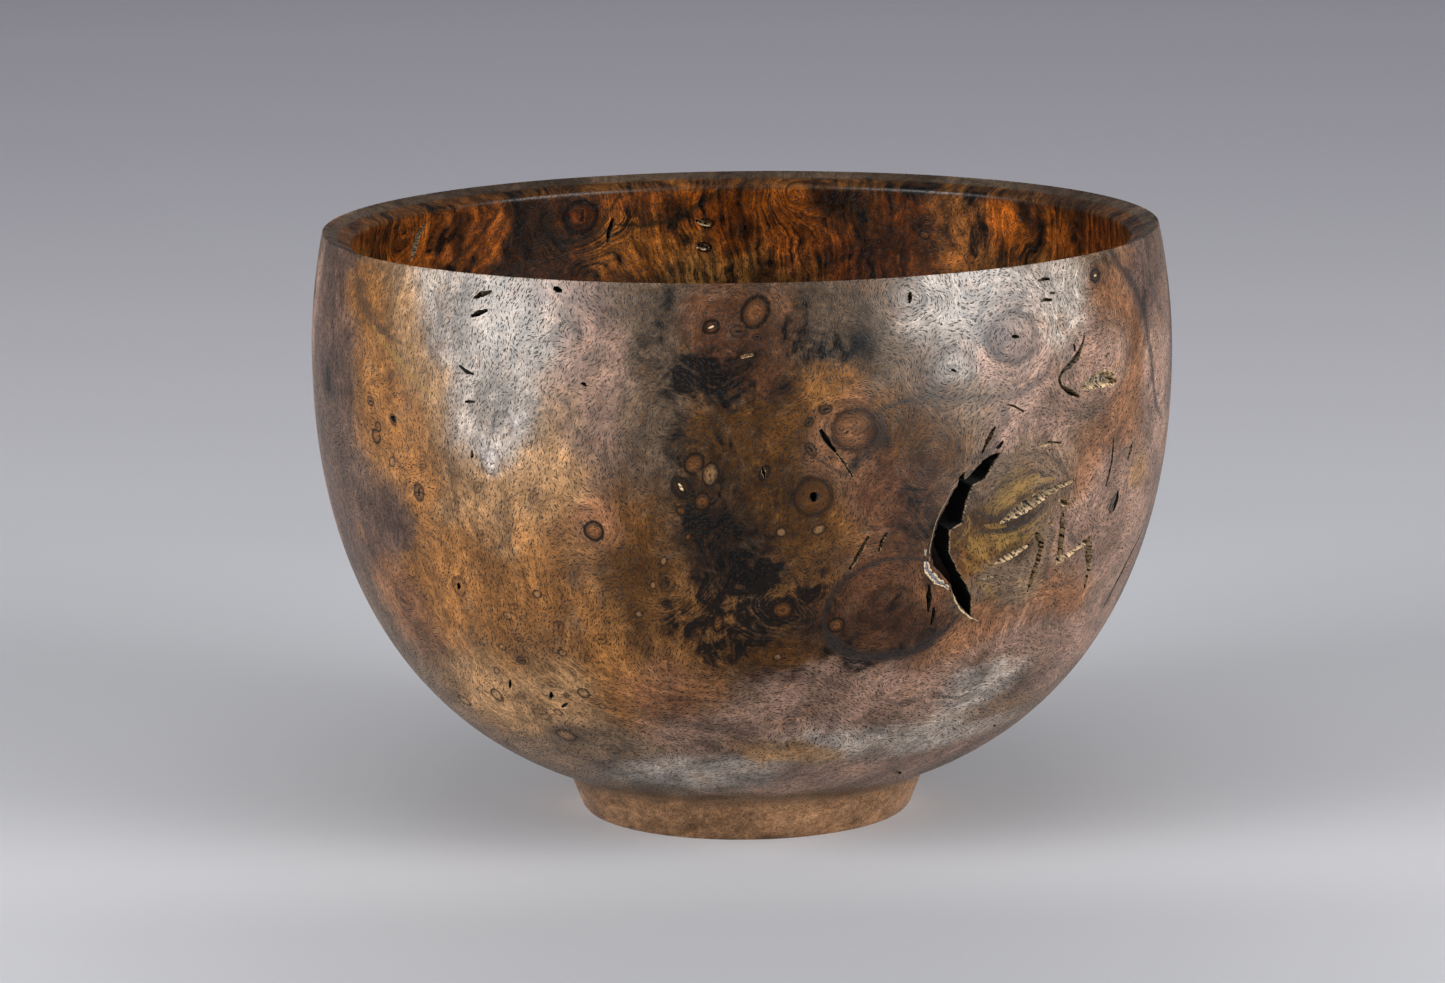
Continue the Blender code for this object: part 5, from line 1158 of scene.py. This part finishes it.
def ink_marks(tree, colours, place, colour, ink, grit, streak):
    """Black and slate ink: clouds with brown showing through in patches of 6 mm, then thin drawn lines."""
    char = add_node(tree, "TexNoise", {
        "Vector": place, "Scale": 0.17, "Detail": 6.0, "Roughness": 0.68, "Distortion": 0.8})
    drawn_out = add_node(tree, "Math", {0: streak, 1: 0.7, 2: char}, operation="MULTIPLY_ADD")
    gaps = add_node(tree, "MapRange", {
        "Value": drawn_out, "From Min": 0.64, "From Max": 1.0, "To Min": 0.15, "To Max": 1.6})
    frayed = add_node(tree, "Math", {0: ink, 1: gaps}, operation="MULTIPLY")
    cloud = add_node(tree, "MapRange", {"Value": frayed, "From Min": 0.0, "From Max": 0.95, "To Max": 0.98})
    drawn = add_node(tree, "Mix", {0: cloud, 6: colour, 7: paint(colours.ink)}, data_type="RGBA").outputs[2]
    stroke = add_node(tree, "Attribute", attribute_name="stroke_place")
    parts = add_node(tree, "SeparateXYZ", {0: stroke.outputs["Vector"]})
    ratio = add_node(tree, "Math", {0: parts.outputs[0], 1: parts.outputs[1]}, operation="DIVIDE")
    wobble = add_node(tree, "Math", {0: grit, 1: 3.0, 2: -1.5}, operation="MULTIPLY_ADD")
    offset = add_node(tree, "Math", {0: ratio, 1: wobble}, operation="ADD")
    distance = add_node(tree, "Math", {0: offset}, operation="ABSOLUTE")
    edge = add_node(tree, "MapRange", {
        "Value": distance, "From Min": 1.8, "From Max": 0.2}, interpolation_type="SMOOTHSTEP")
    strength = add_node(tree, "Math", {0: edge, 1: parts.outputs[2]}, operation="MULTIPLY")
    tints = ((1, 0, colours.slate), (1, -1, colours.cream), (1, -2, colours.pewter), (-1, 0, colours.gold))
    for sign, start, tint in tints:
        amount = add_node(tree, "Math", {0: strength, 1: sign, 2: start},
                          operation="MULTIPLY_ADD", use_clamp=True)
        drawn = add_node(tree, "Mix", {0: amount, 6: drawn, 7: paint(tint)}, data_type="RGBA").outputs[2]
    return drawn, cloud


def burl_eyes(tree, colours, colour, grit):
    """Burl eyes: a tinted body, rings as in a cut bud, a dark outline, and a slit pupil, dark or pale."""
    place = add_node(tree, "Attribute", attribute_name="eye_place")
    look = add_node(tree, "Attribute", attribute_name="eye_look")
    where = add_node(tree, "SeparateXYZ", {0: place.outputs["Vector"]})
    looks = add_node(tree, "SeparateXYZ", {0: look.outputs["Vector"]})
    flat = add_node(tree, "VectorMath", {0: place.outputs["Vector"], 1: (1, 1, 0)}, operation="MULTIPLY")
    radius = add_node(tree, "VectorMath", {0: flat}, operation="LENGTH")
    uneven = add_node(tree, "Math", {0: grit, 1: 0.5, 2: -0.25}, operation="MULTIPLY_ADD")
    reach = add_node(tree, "Math", {0: radius.outputs["Value"], 1: uneven}, operation="ADD")
    body = add_node(tree, "MapRange", {
        "Value": reach, "From Min": 1.15, "From Max": 0.85}, interpolation_type="SMOOTHSTEP")
    body_seen = add_node(tree, "Math", {0: body, 1: where.outputs[2]}, operation="MULTIPLY")
    for sign, start, tint in ((1, 0, colours.rust), (1, -1, colours.cream), (-1, 0, colours.slate)):
        strength = add_node(tree, "Math", {0: looks.outputs[2], 1: sign, 2: start},
                            operation="MULTIPLY_ADD", use_clamp=True)
        amount = add_node(tree, "Math", {0: strength, 1: body_seen}, operation="MULTIPLY")
        less = add_node(tree, "Math", {0: amount, 1: 0.45}, operation="MULTIPLY")
        colour = add_node(tree, "Mix", {0: less, 6: colour, 7: paint(tint)}, data_type="RGBA").outputs[2]
    turns = add_node(tree, "Math", {0: reach, 1: 13.0}, operation="MULTIPLY")
    wave = add_node(tree, "Math", {0: turns}, operation="SINE")
    halo = add_node(tree, "MapRange", {
        "Value": reach, "From Min": 1.9, "From Max": 0.9}, interpolation_type="SMOOTHSTEP")
    rings = add_node(tree, "Math", {0: wave, 1: halo}, operation="MULTIPLY")
    from_edge = add_node(tree, "Math", {0: reach, 1: -1.0}, operation="ADD")
    edge_gap = add_node(tree, "Math", {0: from_edge}, operation="ABSOLUTE")
    outline = add_node(tree, "MapRange", {
        "Value": edge_gap, "From Min": 0.42, "From Max": 0.1}, interpolation_type="SMOOTHSTEP")
    shade = add_node(tree, "Math", {0: halo, 1: 0.3, 2: outline}, operation="MULTIPLY_ADD")
    outlined = add_node(tree, "Math", {0: rings, 1: 0.3, 2: shade}, operation="MULTIPLY_ADD")
    ringed = add_node(tree, "Math", {0: outlined, 1: looks.outputs[1]}, operation="MULTIPLY")
    ring_seen = add_node(tree, "Math", {0: ringed, 1: where.outputs[2]}, operation="MULTIPLY")
    ring_part = add_node(tree, "Math", {0: ring_seen, 1: 0.95}, operation="MULTIPLY", use_clamp=True)
    colour = add_node(tree, "Mix", {
        0: ring_part, 6: colour, 7: paint(colours.umber, 0.45)}, data_type="RGBA").outputs[2]
    narrow = add_node(tree, "VectorMath", {0: flat, 1: (1, 2.0, 0)}, operation="MULTIPLY")
    slit = add_node(tree, "VectorMath", {0: narrow}, operation="LENGTH")
    slit_uneven = add_node(tree, "Math", {0: slit.outputs["Value"], 1: uneven}, operation="ADD")
    for sign, tint, size in ((-1.0, colours.ink, 0.55), (1.0, colours.ink, 0.8), (1.0, colours.cream, 0.36)):
        hole = add_node(tree, "MapRange", {
            "Value": slit_uneven, "From Min": size + 0.12, "From Max": size - 0.12},
            interpolation_type="SMOOTHSTEP")
        strength = add_node(tree, "Math", {0: looks.outputs[0], 1: sign},
                            operation="MULTIPLY", use_clamp=True)
        amount = add_node(tree, "Math", {0: hole, 1: strength}, operation="MULTIPLY")
        seen = add_node(tree, "Math", {0: amount, 1: where.outputs[2]}, operation="MULTIPLY")
        colour = add_node(tree, "Mix", {0: seen, 6: colour, 7: paint(tint)}, data_type="RGBA").outputs[2]
    return colour


# Vessels: cell, half length and half width in mm, share of the cells that have one, and shift in mm
SHORT_PORES = (1.15, 0.42, 0.14, 0.9, (0, 0, 0))
LONG_PORES = (1.6, 0.66, 0.15, 0.75, (31.7, 12.3, 7.7))
PALE_FLECKS = (1.3, 0.28, 0.2, 0.5, (5.1, 44.4, 23.9))
# Streaks: length and width in mm, and detail
FIGURE_STREAKS = (17.0, 2.8, 4.0)
WOOD_FIBRE = (3.0, 0.32, 2.0)


def oiled_walnut_burl(colours):
    """Claro walnut burl, turned, fine sanded and oiled: a satin skin over crowded eyes, ink and pores.

    The satin gloss shows the softboxes as broad pale veils. The figure comes from the mesh's attributes."""
    material, tree, shader = new_material("oiled_walnut_burl")
    where = add_node(tree, "TexCoord")
    normal = where.outputs["Normal"]
    place = add_node(tree, "VectorMath", {0: where.outputs["Object"], "Scale": 1000.0}, operation="SCALE")
    figure = add_node(tree, "Attribute", attribute_name="figure_colour").outputs["Color"]
    growth_raw = add_node(tree, "Attribute", attribute_name="growth").outputs["Fac"]
    grain_raw = add_node(tree, "Attribute", attribute_name="grain").outputs["Vector"]
    ink = add_node(tree, "Attribute", attribute_name="ink_cloud").outputs["Fac"]
    part = add_node(tree, "SeparateXYZ", {
        0: add_node(tree, "Attribute", attribute_name="turned_part").outputs["Vector"]})
    # Wavy growth: the lines are pushed by up to 1 mm over 7 mm, and the vessels squirm by as much over 4 mm
    swell = add_node(tree, "TexNoise", {"Vector": place, "Scale": 0.14, "Detail": 3.0})
    growth = add_node(tree, "Math", {0: swell, 1: 5.0, 2: growth_raw}, operation="MULTIPLY_ADD")
    twist = add_node(tree, "TexNoise", {"Vector": place, "Scale": 0.3, "Detail": 2.0})
    twist_middle = add_node(tree, "VectorMath", {
        0: twist.outputs["Color"], 1: (0.5, 0.5, 0.5)}, operation="SUBTRACT")
    twisted = add_node(tree, "VectorMath", {0: twist_middle, 1: (3.0, 3.0, 3.0), 2: grain_raw},
                       operation="MULTIPLY_ADD")
    grain = add_node(tree, "VectorMath", {0: twisted}, operation="NORMALIZE")

    # Tone: broad mottling over 16 mm, growth lines, streaks of 17 by 3 mm, fibre of 3 by 0.3 mm, grit of 2 mm
    # and specks of 0.5 mm, each of them a factor from its low to its high value
    mottle = add_node(tree, "TexNoise", {"Vector": place, "Scale": 0.06, "Detail": 6.0, "Roughness": 0.62})
    lines = add_node(tree, "TexNoise", {
        "W": growth, "Scale": 0.24, "Detail": 2.0, "Roughness": 0.6}, noise_dimensions="1D")
    streak = growth_streaks(tree, place, growth, *FIGURE_STREAKS)
    fibre = growth_streaks(tree, place, growth, *WOOD_FIBRE)
    grit = add_node(tree, "TexNoise", {"Vector": place, "Scale": 0.45, "Detail": 6.0, "Roughness": 0.7})
    speck = add_node(tree, "TexNoise", {"Vector": place, "Scale": 2.2, "Detail": 1.0})
    tone = None
    for noise, low, high in ((mottle, 0.3, 1.7), (lines, 0.85, 1.15), (streak, 0.7, 1.3),
                             (fibre, 0.8, 1.2), (grit, 0.45, 1.55), (speck, 0.65, 1.35)):
        level = add_node(tree, "MapRange", {
            "Value": noise, "From Min": 0.25, "From Max": 0.75, "To Min": low, "To Max": high})
        tone = level if tone is None else add_node(tree, "Math", {0: tone, 1: level}, operation="MULTIPLY")

    # Figure: amber and taupe drift through it over 7 mm, and the streaks are paler
    warm = add_node(tree, "TexNoise", {
        "Vector": place, "Scale": 0.15, "Detail": 5.0, "Roughness": 0.62, "Distortion": 0.6})
    for start, full, most, tint in ((0.52, 0.72, 0.35, colours.amber), (0.48, 0.3, 0.45, colours.taupe)):
        share = add_node(tree, "MapRange", {
            "Value": warm, "From Min": start, "From Max": full, "To Max": most},
            interpolation_type="SMOOTHSTEP")
        figure = add_node(tree, "Mix", {0: share, 6: figure, 7: paint(tint)}, data_type="RGBA").outputs[2]
    gilt_share = add_node(tree, "MapRange", {
        "Value": streak, "From Min": 0.48, "From Max": 0.7, "To Max": 0.38}, interpolation_type="SMOOTHSTEP")
    paler = add_node(tree, "VectorMath", {0: figure, 1: (1.6, 1.52, 1.4)}, operation="MULTIPLY")
    gilt = add_node(tree, "Mix", {0: gilt_share, 6: figure, 7: paler}, data_type="RGBA").outputs[2]
    toned = add_node(tree, "VectorMath", {0: gilt, "Scale": tone}, operation="SCALE")
    inked, cloud = ink_marks(tree, colours, place, toned, ink, grit, streak)
    eyed = burl_eyes(tree, colours, inked, grit)

    # Vessels: pores about 1 mm long, some shorter and some longer, darker than the wood, and pale flecks
    pores, more_pores, flecks = (hidden_vessels(tree, place, grain, normal, *vessels)
                                 for vessels in (SHORT_PORES, LONG_PORES, PALE_FLECKS))
    all_pores = add_node(tree, "Math", {0: pores, 1: more_pores}, operation="MAXIMUM")
    pore_share = add_node(tree, "Math", {0: all_pores, 1: 0.88}, operation="MULTIPLY")
    pored = add_node(tree, "Mix", {
        0: pore_share, 6: eyed, 7: paint(colours.ink)}, data_type="RGBA").outputs[2]
    fleck_share = add_node(tree, "Math", {0: flecks, 1: cloud}, operation="MULTIPLY")
    fleck_part = add_node(tree, "Math", {0: fleck_share, 1: 0.25}, operation="MULTIPLY")
    flecked = add_node(tree, "Mix", {
        0: fleck_part, 6: pored, 7: paint(colours.honey)}, data_type="RGBA").outputs[2]

    # The rim's top is dustier end grain, the foot is warmer, and the inside is deeper and redder, with painted
    # shade darkening it towards its floor
    end_grain = tuple(linear(colours.taupe) * 0.5)
    dusty = add_node(tree, "VectorMath", {0: end_grain, "Scale": tone}, operation="SCALE")
    rim_share = add_node(tree, "Math", {0: part.outputs[1], 1: 0.85}, operation="MULTIPLY")
    rimmed = add_node(tree, "Mix", {0: rim_share, 6: flecked, 7: dusty}, data_type="RGBA").outputs[2]
    foot_share = add_node(tree, "Math", {0: part.outputs[2], 1: 0.5}, operation="MULTIPLY")
    foot_colour = tuple(linear(colours.copper) * 0.8 + linear(colours.straw) * 0.4)
    warm_foot = add_node(tree, "VectorMath", {0: foot_colour, "Scale": tone}, operation="SCALE")
    footed = add_node(tree, "Mix", {0: foot_share, 6: rimmed, 7: warm_foot}, data_type="RGBA").outputs[2]
    swirl = add_node(tree, "Math", {0: warm, 1: streak}, operation="ADD")
    contrast = add_node(tree, "MapRange", {
        "Value": swirl, "From Min": 0.8, "From Max": 1.25, "To Min": 0.05, "To Max": 2.1})
    height = add_node(tree, "SeparateXYZ", {0: place})
    # Painted shade inside: the colour falls to about a third from 135 mm down to 40 mm
    painted_shade_low = add_node(tree, "MapRange", {
        "Value": height.outputs[2], "From Min": 135.0, "From Max": 40.0, "To Min": 1.0, "To Max": 0.35})
    contrast_and_painted_shade = add_node(tree, "Math", {0: contrast, 1: painted_shade_low}, operation="MULTIPLY")
    oiled = add_node(tree, "VectorMath", {0: footed, "Scale": contrast_and_painted_shade}, operation="SCALE")
    deep = add_node(tree, "VectorMath", {0: oiled, 1: (0.92, 0.54, 0.16)}, operation="MULTIPLY")
    deepened = add_node(tree, "Mix", {0: part.outputs[0], 6: footed, 7: deep}, data_type="RGBA").outputs[2]
    tree.links.new(deepened, shader.inputs["Base Color"])

    rough = add_node(tree, "MapRange", {
        "Value": grit, "From Min": 0.3, "From Max": 0.7, "To Min": 0.28, "To Max": 0.4})
    rough_pores = add_node(tree, "Math", {0: all_pores, 1: 0.3, 2: rough}, operation="MULTIPLY_ADD")
    tree.links.new(rough_pores.outputs[0], shader.inputs["Roughness"])
    sunk = add_node(tree, "Math", {0: all_pores, 1: -1.0, 2: fibre}, operation="MULTIPLY_ADD")
    bump = add_node(tree, "Bump", {"Height": sunk, "Strength": 0.35, "Distance": 0.08 * MM})
    tree.links.new(bump.outputs[0], shader.inputs["Normal"])
    shader.inputs["Specular IOR Level"].default_value = 0.12
    return material


def open_bark_void(colours):
    """Bark and torn wood inside the voids, left by the tree and untouched by the tool.

    That gives cream crumbs on ridges, and black in the depth, matt throughout."""
    material, tree, shader = new_material("open_bark_void")
    place = add_node(tree, "VectorMath", {
        0: add_node(tree, "TexCoord").outputs["Object"], "Scale": 1000.0}, operation="SCALE")
    void = add_node(tree, "SeparateXYZ", {
        0: add_node(tree, "Attribute", attribute_name="void_place").outputs["Vector"]})
    ragged = add_node(tree, "TexNoise", {"Vector": place, "Scale": 1.1, "Detail": 5.0, "Roughness": 0.75})
    ridges = add_node(tree, "TexNoise", {
        "W": void.outputs[0], "Scale": 1.15, "Detail": 2.0}, noise_dimensions="1D")
    together = add_node(tree, "Math", {0: ridges, 1: 0.45, 2: ragged}, operation="MULTIPLY_ADD")
    crumbs = add_node(tree, "MapRange", {
        "Value": together, "From Min": 0.64, "From Max": 0.78}, interpolation_type="SMOOTHSTEP")
    shallow = add_node(tree, "MapRange", {"Value": void.outputs[1], "From Min": 3.2, "From Max": 0.4})
    pale = add_node(tree, "Math", {0: crumbs, 1: shallow}, operation="MULTIPLY")
    lip = add_node(tree, "MapRange", {
        "Value": void.outputs[1], "From Min": 0.9, "From Max": 0.2, "To Max": 0.85})
    lipped = add_node(tree, "Math", {0: void.outputs[2], 1: -1.0}, operation="MULTIPLY", use_clamp=True)
    lip_part = add_node(tree, "Math", {0: lip, 1: lipped}, operation="MULTIPLY")
    barky = add_node(tree, "Math", {0: void.outputs[2], 1: lip_part}, operation="MAXIMUM")
    amount = add_node(tree, "Math", {0: pale, 1: barky}, operation="MULTIPLY")
    colour = add_node(tree, "Mix", {
        0: amount, 6: paint(colours.ink, 0.5), 7: paint(colours.cream)}, data_type="RGBA")
    tree.links.new(colour.outputs[2], shader.inputs["Base Color"])
    shader.inputs["Roughness"].default_value = 0.85
    shader.inputs["Specular IOR Level"].default_value = 0.25
    bump = add_node(tree, "Bump", {"Height": ragged, "Strength": 0.6, "Distance": 0.4 * MM})
    tree.links.new(bump.outputs[0], shader.inputs["Normal"])
    return material


RIM_NICKS = [(-157.2, 1.1), (-50.1, 0.8), (22.0, 0.7)]
NICK_DEPTH = 1.3
NICK_SECTION = np.array([(-1.2, 2.0), (1.2, 2.0), (1.0, -2.6), (0.35, -3.4), (-0.5, -3.2), (-1.0, -2.4)])


def nick_cutter(form, azimuth, half_width):
    """A small notch across the rim's top: a wedge whose section repeats at six radii and wavers a little."""
    angle = math.radians(azimuth)
    away = np.array([math.sin(angle), -math.cos(angle), 0])
    side = np.array([math.cos(angle), math.sin(angle), 0])
    rng = np.random.default_rng(int(abs(azimuth)))
    radii = np.linspace(form.rim_inner_radius / MM - 3, form.widest_radius / MM + 2, 6)
    rim_width = form.widest_radius - form.rim_closing - form.rim_inner_radius
    slope = (form.height - form.rim_inner_height) / rim_width
    rings = []
    for radius in radii:
        top = form.height / MM - (form.widest_radius / MM - form.rim_closing / MM - radius) * slope
        shape = NICK_SECTION * (1 + 0.25 * rng.normal(size=NICK_SECTION.shape)) * (half_width, NICK_DEPTH / 3)
        height = np.maximum(top, form.rim_inner_height / MM) + shape[:, 1]
        rings.append(away * radius + side * shape[:, :1] + np.array([0, 0, 1.0]) * height[:, None])
    size = len(NICK_SECTION)
    i = np.arange(size)
    j = (i + 1) % size
    level = np.arange(len(rings) - 1)[:, None] * size
    walls = np.stack([level + i, level + j, level + size + j, level + size + i], axis=2)
    ends = [i[::-1].tolist(), (i + (len(rings) - 1) * size).tolist()]
    return np.concatenate(rings) * MM, walls.reshape(-1, 4).tolist() + ends


def made_object(name, mesh, materials):
    """A mesh object at the origin with its materials, linked into the scene."""
    made = bpy.data.objects.new(name, mesh)
    bpy.context.scene.collection.objects.link(made)
    for material in materials:
        mesh.materials.append(material)
    return made


def cut_away(target, cutter):
    """The target's mesh with the cutter's volume taken away."""
    difference = target.modifiers.new("voids", "BOOLEAN")
    difference.operation, difference.solver, difference.use_self = "DIFFERENCE", "EXACT", True
    difference.material_mode = "TRANSFER"
    difference.object = cutter
    graph = bpy.context.evaluated_depsgraph_get()
    mesh = bpy.data.meshes.new_from_object(target.evaluated_get(graph))
    target.modifiers.clear()
    return mesh


class BURLBOWL_OT_bowl(bpy.types.Operator):
    """Turn the bowl, open its voids, and give the wood its figure and finish"""

    bl_idname = "burlbowl.bowl"
    bl_label = "Turn Burl Bowl"

    def execute(self, context):
        form, colours = context.scene.burl_form, context.scene.burl_colours
        wood, bark = oiled_walnut_burl(colours), open_bark_void(colours)
        bowl = made_object("burl_bowl", lathe("burl_bowl", bowl_outline(form), form.columns), [wood, bark])
        cutter_mesh = all_cutters(form)
        cutter = made_object("void_cutters", cutter_mesh, [bark])
        whole = bowl.data
        bowl.data = cut_away(bowl, cutter)
        bpy.data.objects.remove(cutter)
        bpy.data.meshes.remove(cutter_mesh)
        bpy.data.meshes.remove(whole)
        mesh = bowl.data
        if len(mesh.polygons) < 1000:
            raise RuntimeError("The voids could not be cut from the bowl")
        mesh.shade_smooth()
        mesh.set_sharp_from_angle(angle=math.radians(38))
        true_normals(form, mesh, *figure_the_wood(form, colours, mesh))
        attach(bowl, "root")
        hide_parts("bowl")
        return {"FINISHED"}


def softbox(name, place, size, power, colour):
    """A rectangular area light at place that faces the bowl's middle."""
    light = bpy.data.lights.new(name, "AREA")
    light.shape, light.size, light.size_y = "RECTANGLE", size[0], size[1]
    light.energy, light.color = power, colour
    lamp = bpy.data.objects.new(name, light)
    lamp.location = place
    lamp.rotation_euler = (Vector(LIT_POINT) - Vector(place)).to_track_quat("-Z", "Y").to_euler()
    bpy.context.scene.collection.objects.link(lamp)
    return lamp


def seamless_paper():
    """Matt seamless paper, pale, with painted shade in the middle of its front, and painted whiter and a
    little lilac behind, where the lamps' light falls off.
    """
    material, tree, shader = new_material("seamless_paper")
    place = add_node(tree, "SeparateXYZ", {0: add_node(tree, "TexCoord").outputs["Object"]})
    # Painted light: the paper grows whiter towards the back to make up for the lamps' light falling off there,
    # and a little lilac
    painted_lift_behind = add_node(tree, "MapRange", {"Value": place.outputs[1], "From Min": 0.4, "From Max": 2.1})
    colour = add_node(tree, "Mix", {
        0: painted_lift_behind, 6: paint("#c6c8cc"), 7: paint("#f3f1fb")}, data_type="RGBA")
    # Painted shade: a soft dark band on the paper's front, darkest in the middle before the bowl
    aside = add_node(tree, "Math", {0: place.outputs[0]}, operation="ABSOLUTE")
    middle = add_node(tree, "MapRange", {"Value": aside, "From Min": 0.3, "From Max": 0.02},
                      interpolation_type="SMOOTHSTEP")
    forward = add_node(tree, "MapRange", {
        "Value": place.outputs[1], "From Min": -0.04, "From Max": -0.14, "To Max": 0.4},
        interpolation_type="SMOOTHSTEP")
    shade = add_node(tree, "Math", {0: middle, 1: forward}, operation="MULTIPLY")
    paper_with_painted_shade = add_node(tree, "Mix", {0: shade, 6: colour.outputs[2], 7: paint("#5f6166")}, data_type="RGBA")
    tree.links.new(paper_with_painted_shade.outputs[2], shader.inputs["Base Color"])
    shader.inputs["Roughness"].default_value = 0.9
    return material


FLOOR_REACH = 5.0
LIT_POINT = (0, 0, 0.09)
SIDE_LIGHT_ASIDE = 1.35
SIDE_LIGHT_FORWARD = -0.75
SIDE_LIGHT_HEIGHT = 0.55
SIDE_LIGHT_SIZE = (0.8, 1.0)
TOP_LIGHT_PLACE = (0, -0.3, 1.7)
TOP_LIGHT_SIZE = (1.4, 1.2)


class BURLBOWL_OT_stage(bpy.types.Operator):
    """Set the pale floor, the soft lights and the camera"""

    bl_idname = "burlbowl.stage"
    bl_label = "Set Studio Stage"

    def execute(self, context):
        scene = context.scene
        stage = scene.burl_stage
        corners = FLOOR_REACH * np.array([(-1, -1, 0), (1, -1, 0), (1, 1, 0), (-1, 1, 0)])
        sheet = mesh_from("paper_floor", corners, [(0, 1, 2, 3)])
        floor = made_object("paper_floor", sheet, [seamless_paper()])
        for side, x in (("left", -SIDE_LIGHT_ASIDE), ("right", SIDE_LIGHT_ASIDE)):
            place = (x, SIDE_LIGHT_FORWARD, SIDE_LIGHT_HEIGHT)
            softbox(side + "_softbox", place, SIDE_LIGHT_SIZE, stage.key_power, (1.0, 0.98, 0.98))
            sheen = softbox(side + "_sheen", place, SIDE_LIGHT_SIZE, stage.gloss_power, (0.95, 0.98, 1.0))
            sheen.visible_diffuse = False
        softbox("top_softbox", TOP_LIGHT_PLACE, TOP_LIGHT_SIZE, stage.top_power, (1.0, 1.0, 1.0))
        world = bpy.data.worlds.new("studio_room")
        world.use_nodes = True
        background = world.node_tree.nodes["Background"]
        background.inputs["Color"].default_value = paint("#dcdbe4")
        background.inputs["Strength"].default_value = stage.ambient
        scene.world = world
        camera = bpy.data.objects.new("camera", bpy.data.cameras.new("camera"))
        camera.data.lens, camera.data.sensor_width = stage.lens, 36.0
        stand = Matrix.Translation((stage.camera_aside, -stage.camera_distance, stage.camera_height))
        tilt = Matrix.Rotation(math.radians(90) - stage.pitch, 4, "X")
        camera.matrix_world = stand @ tilt @ Matrix.Rotation(stage.roll, 4, "Z")
        scene.collection.objects.link(camera)
        bpy.context.scene.camera = camera
        scene.view_settings.view_transform = "Standard"
        return {"FINISHED"}


class BURLBOWL_PT_panel(bpy.types.Panel):
    """The bowl's sizes and colours, and its steps"""

    bl_idname = "BURLBOWL_PT_panel"
    bl_label = "Burl Bowl"
    bl_space_type = "VIEW_3D"
    bl_region_type = "UI"
    bl_category = "Burl Bowl"

    def draw(self, context):
        for operator in (BURLBOWL_OT_bowl, BURLBOWL_OT_stage):
            self.layout.operator(operator.bl_idname)
        for group in (context.scene.burl_form, context.scene.burl_colours, context.scene.burl_stage):
            column = self.layout.column()
            for name in group.__annotations__:
                column.prop(group, name)


CLASSES = (BowlForm, BurlColours, StageSettings, BURLBOWL_OT_bowl, BURLBOWL_OT_stage, BURLBOWL_PT_panel)


def register():
    """Registers the classes and hangs the settings on the scene."""
    for one_class in CLASSES:
        bpy.utils.register_class(one_class)
    bpy.types.Scene.burl_form = bpy.props.PointerProperty(type=BowlForm)
    bpy.types.Scene.burl_colours = bpy.props.PointerProperty(type=BurlColours)
    bpy.types.Scene.burl_stage = bpy.props.PointerProperty(type=StageSettings)


def unregister():
    """Takes the settings and classes away again."""
    del bpy.types.Scene.burl_form, bpy.types.Scene.burl_colours, bpy.types.Scene.burl_stage
    for one_class in reversed(CLASSES):
        bpy.utils.unregister_class(one_class)


def main():
    register()
    bpy.ops.burlbowl.bowl()
    bpy.ops.burlbowl.stage()


if __name__ == "__main__":
    main()
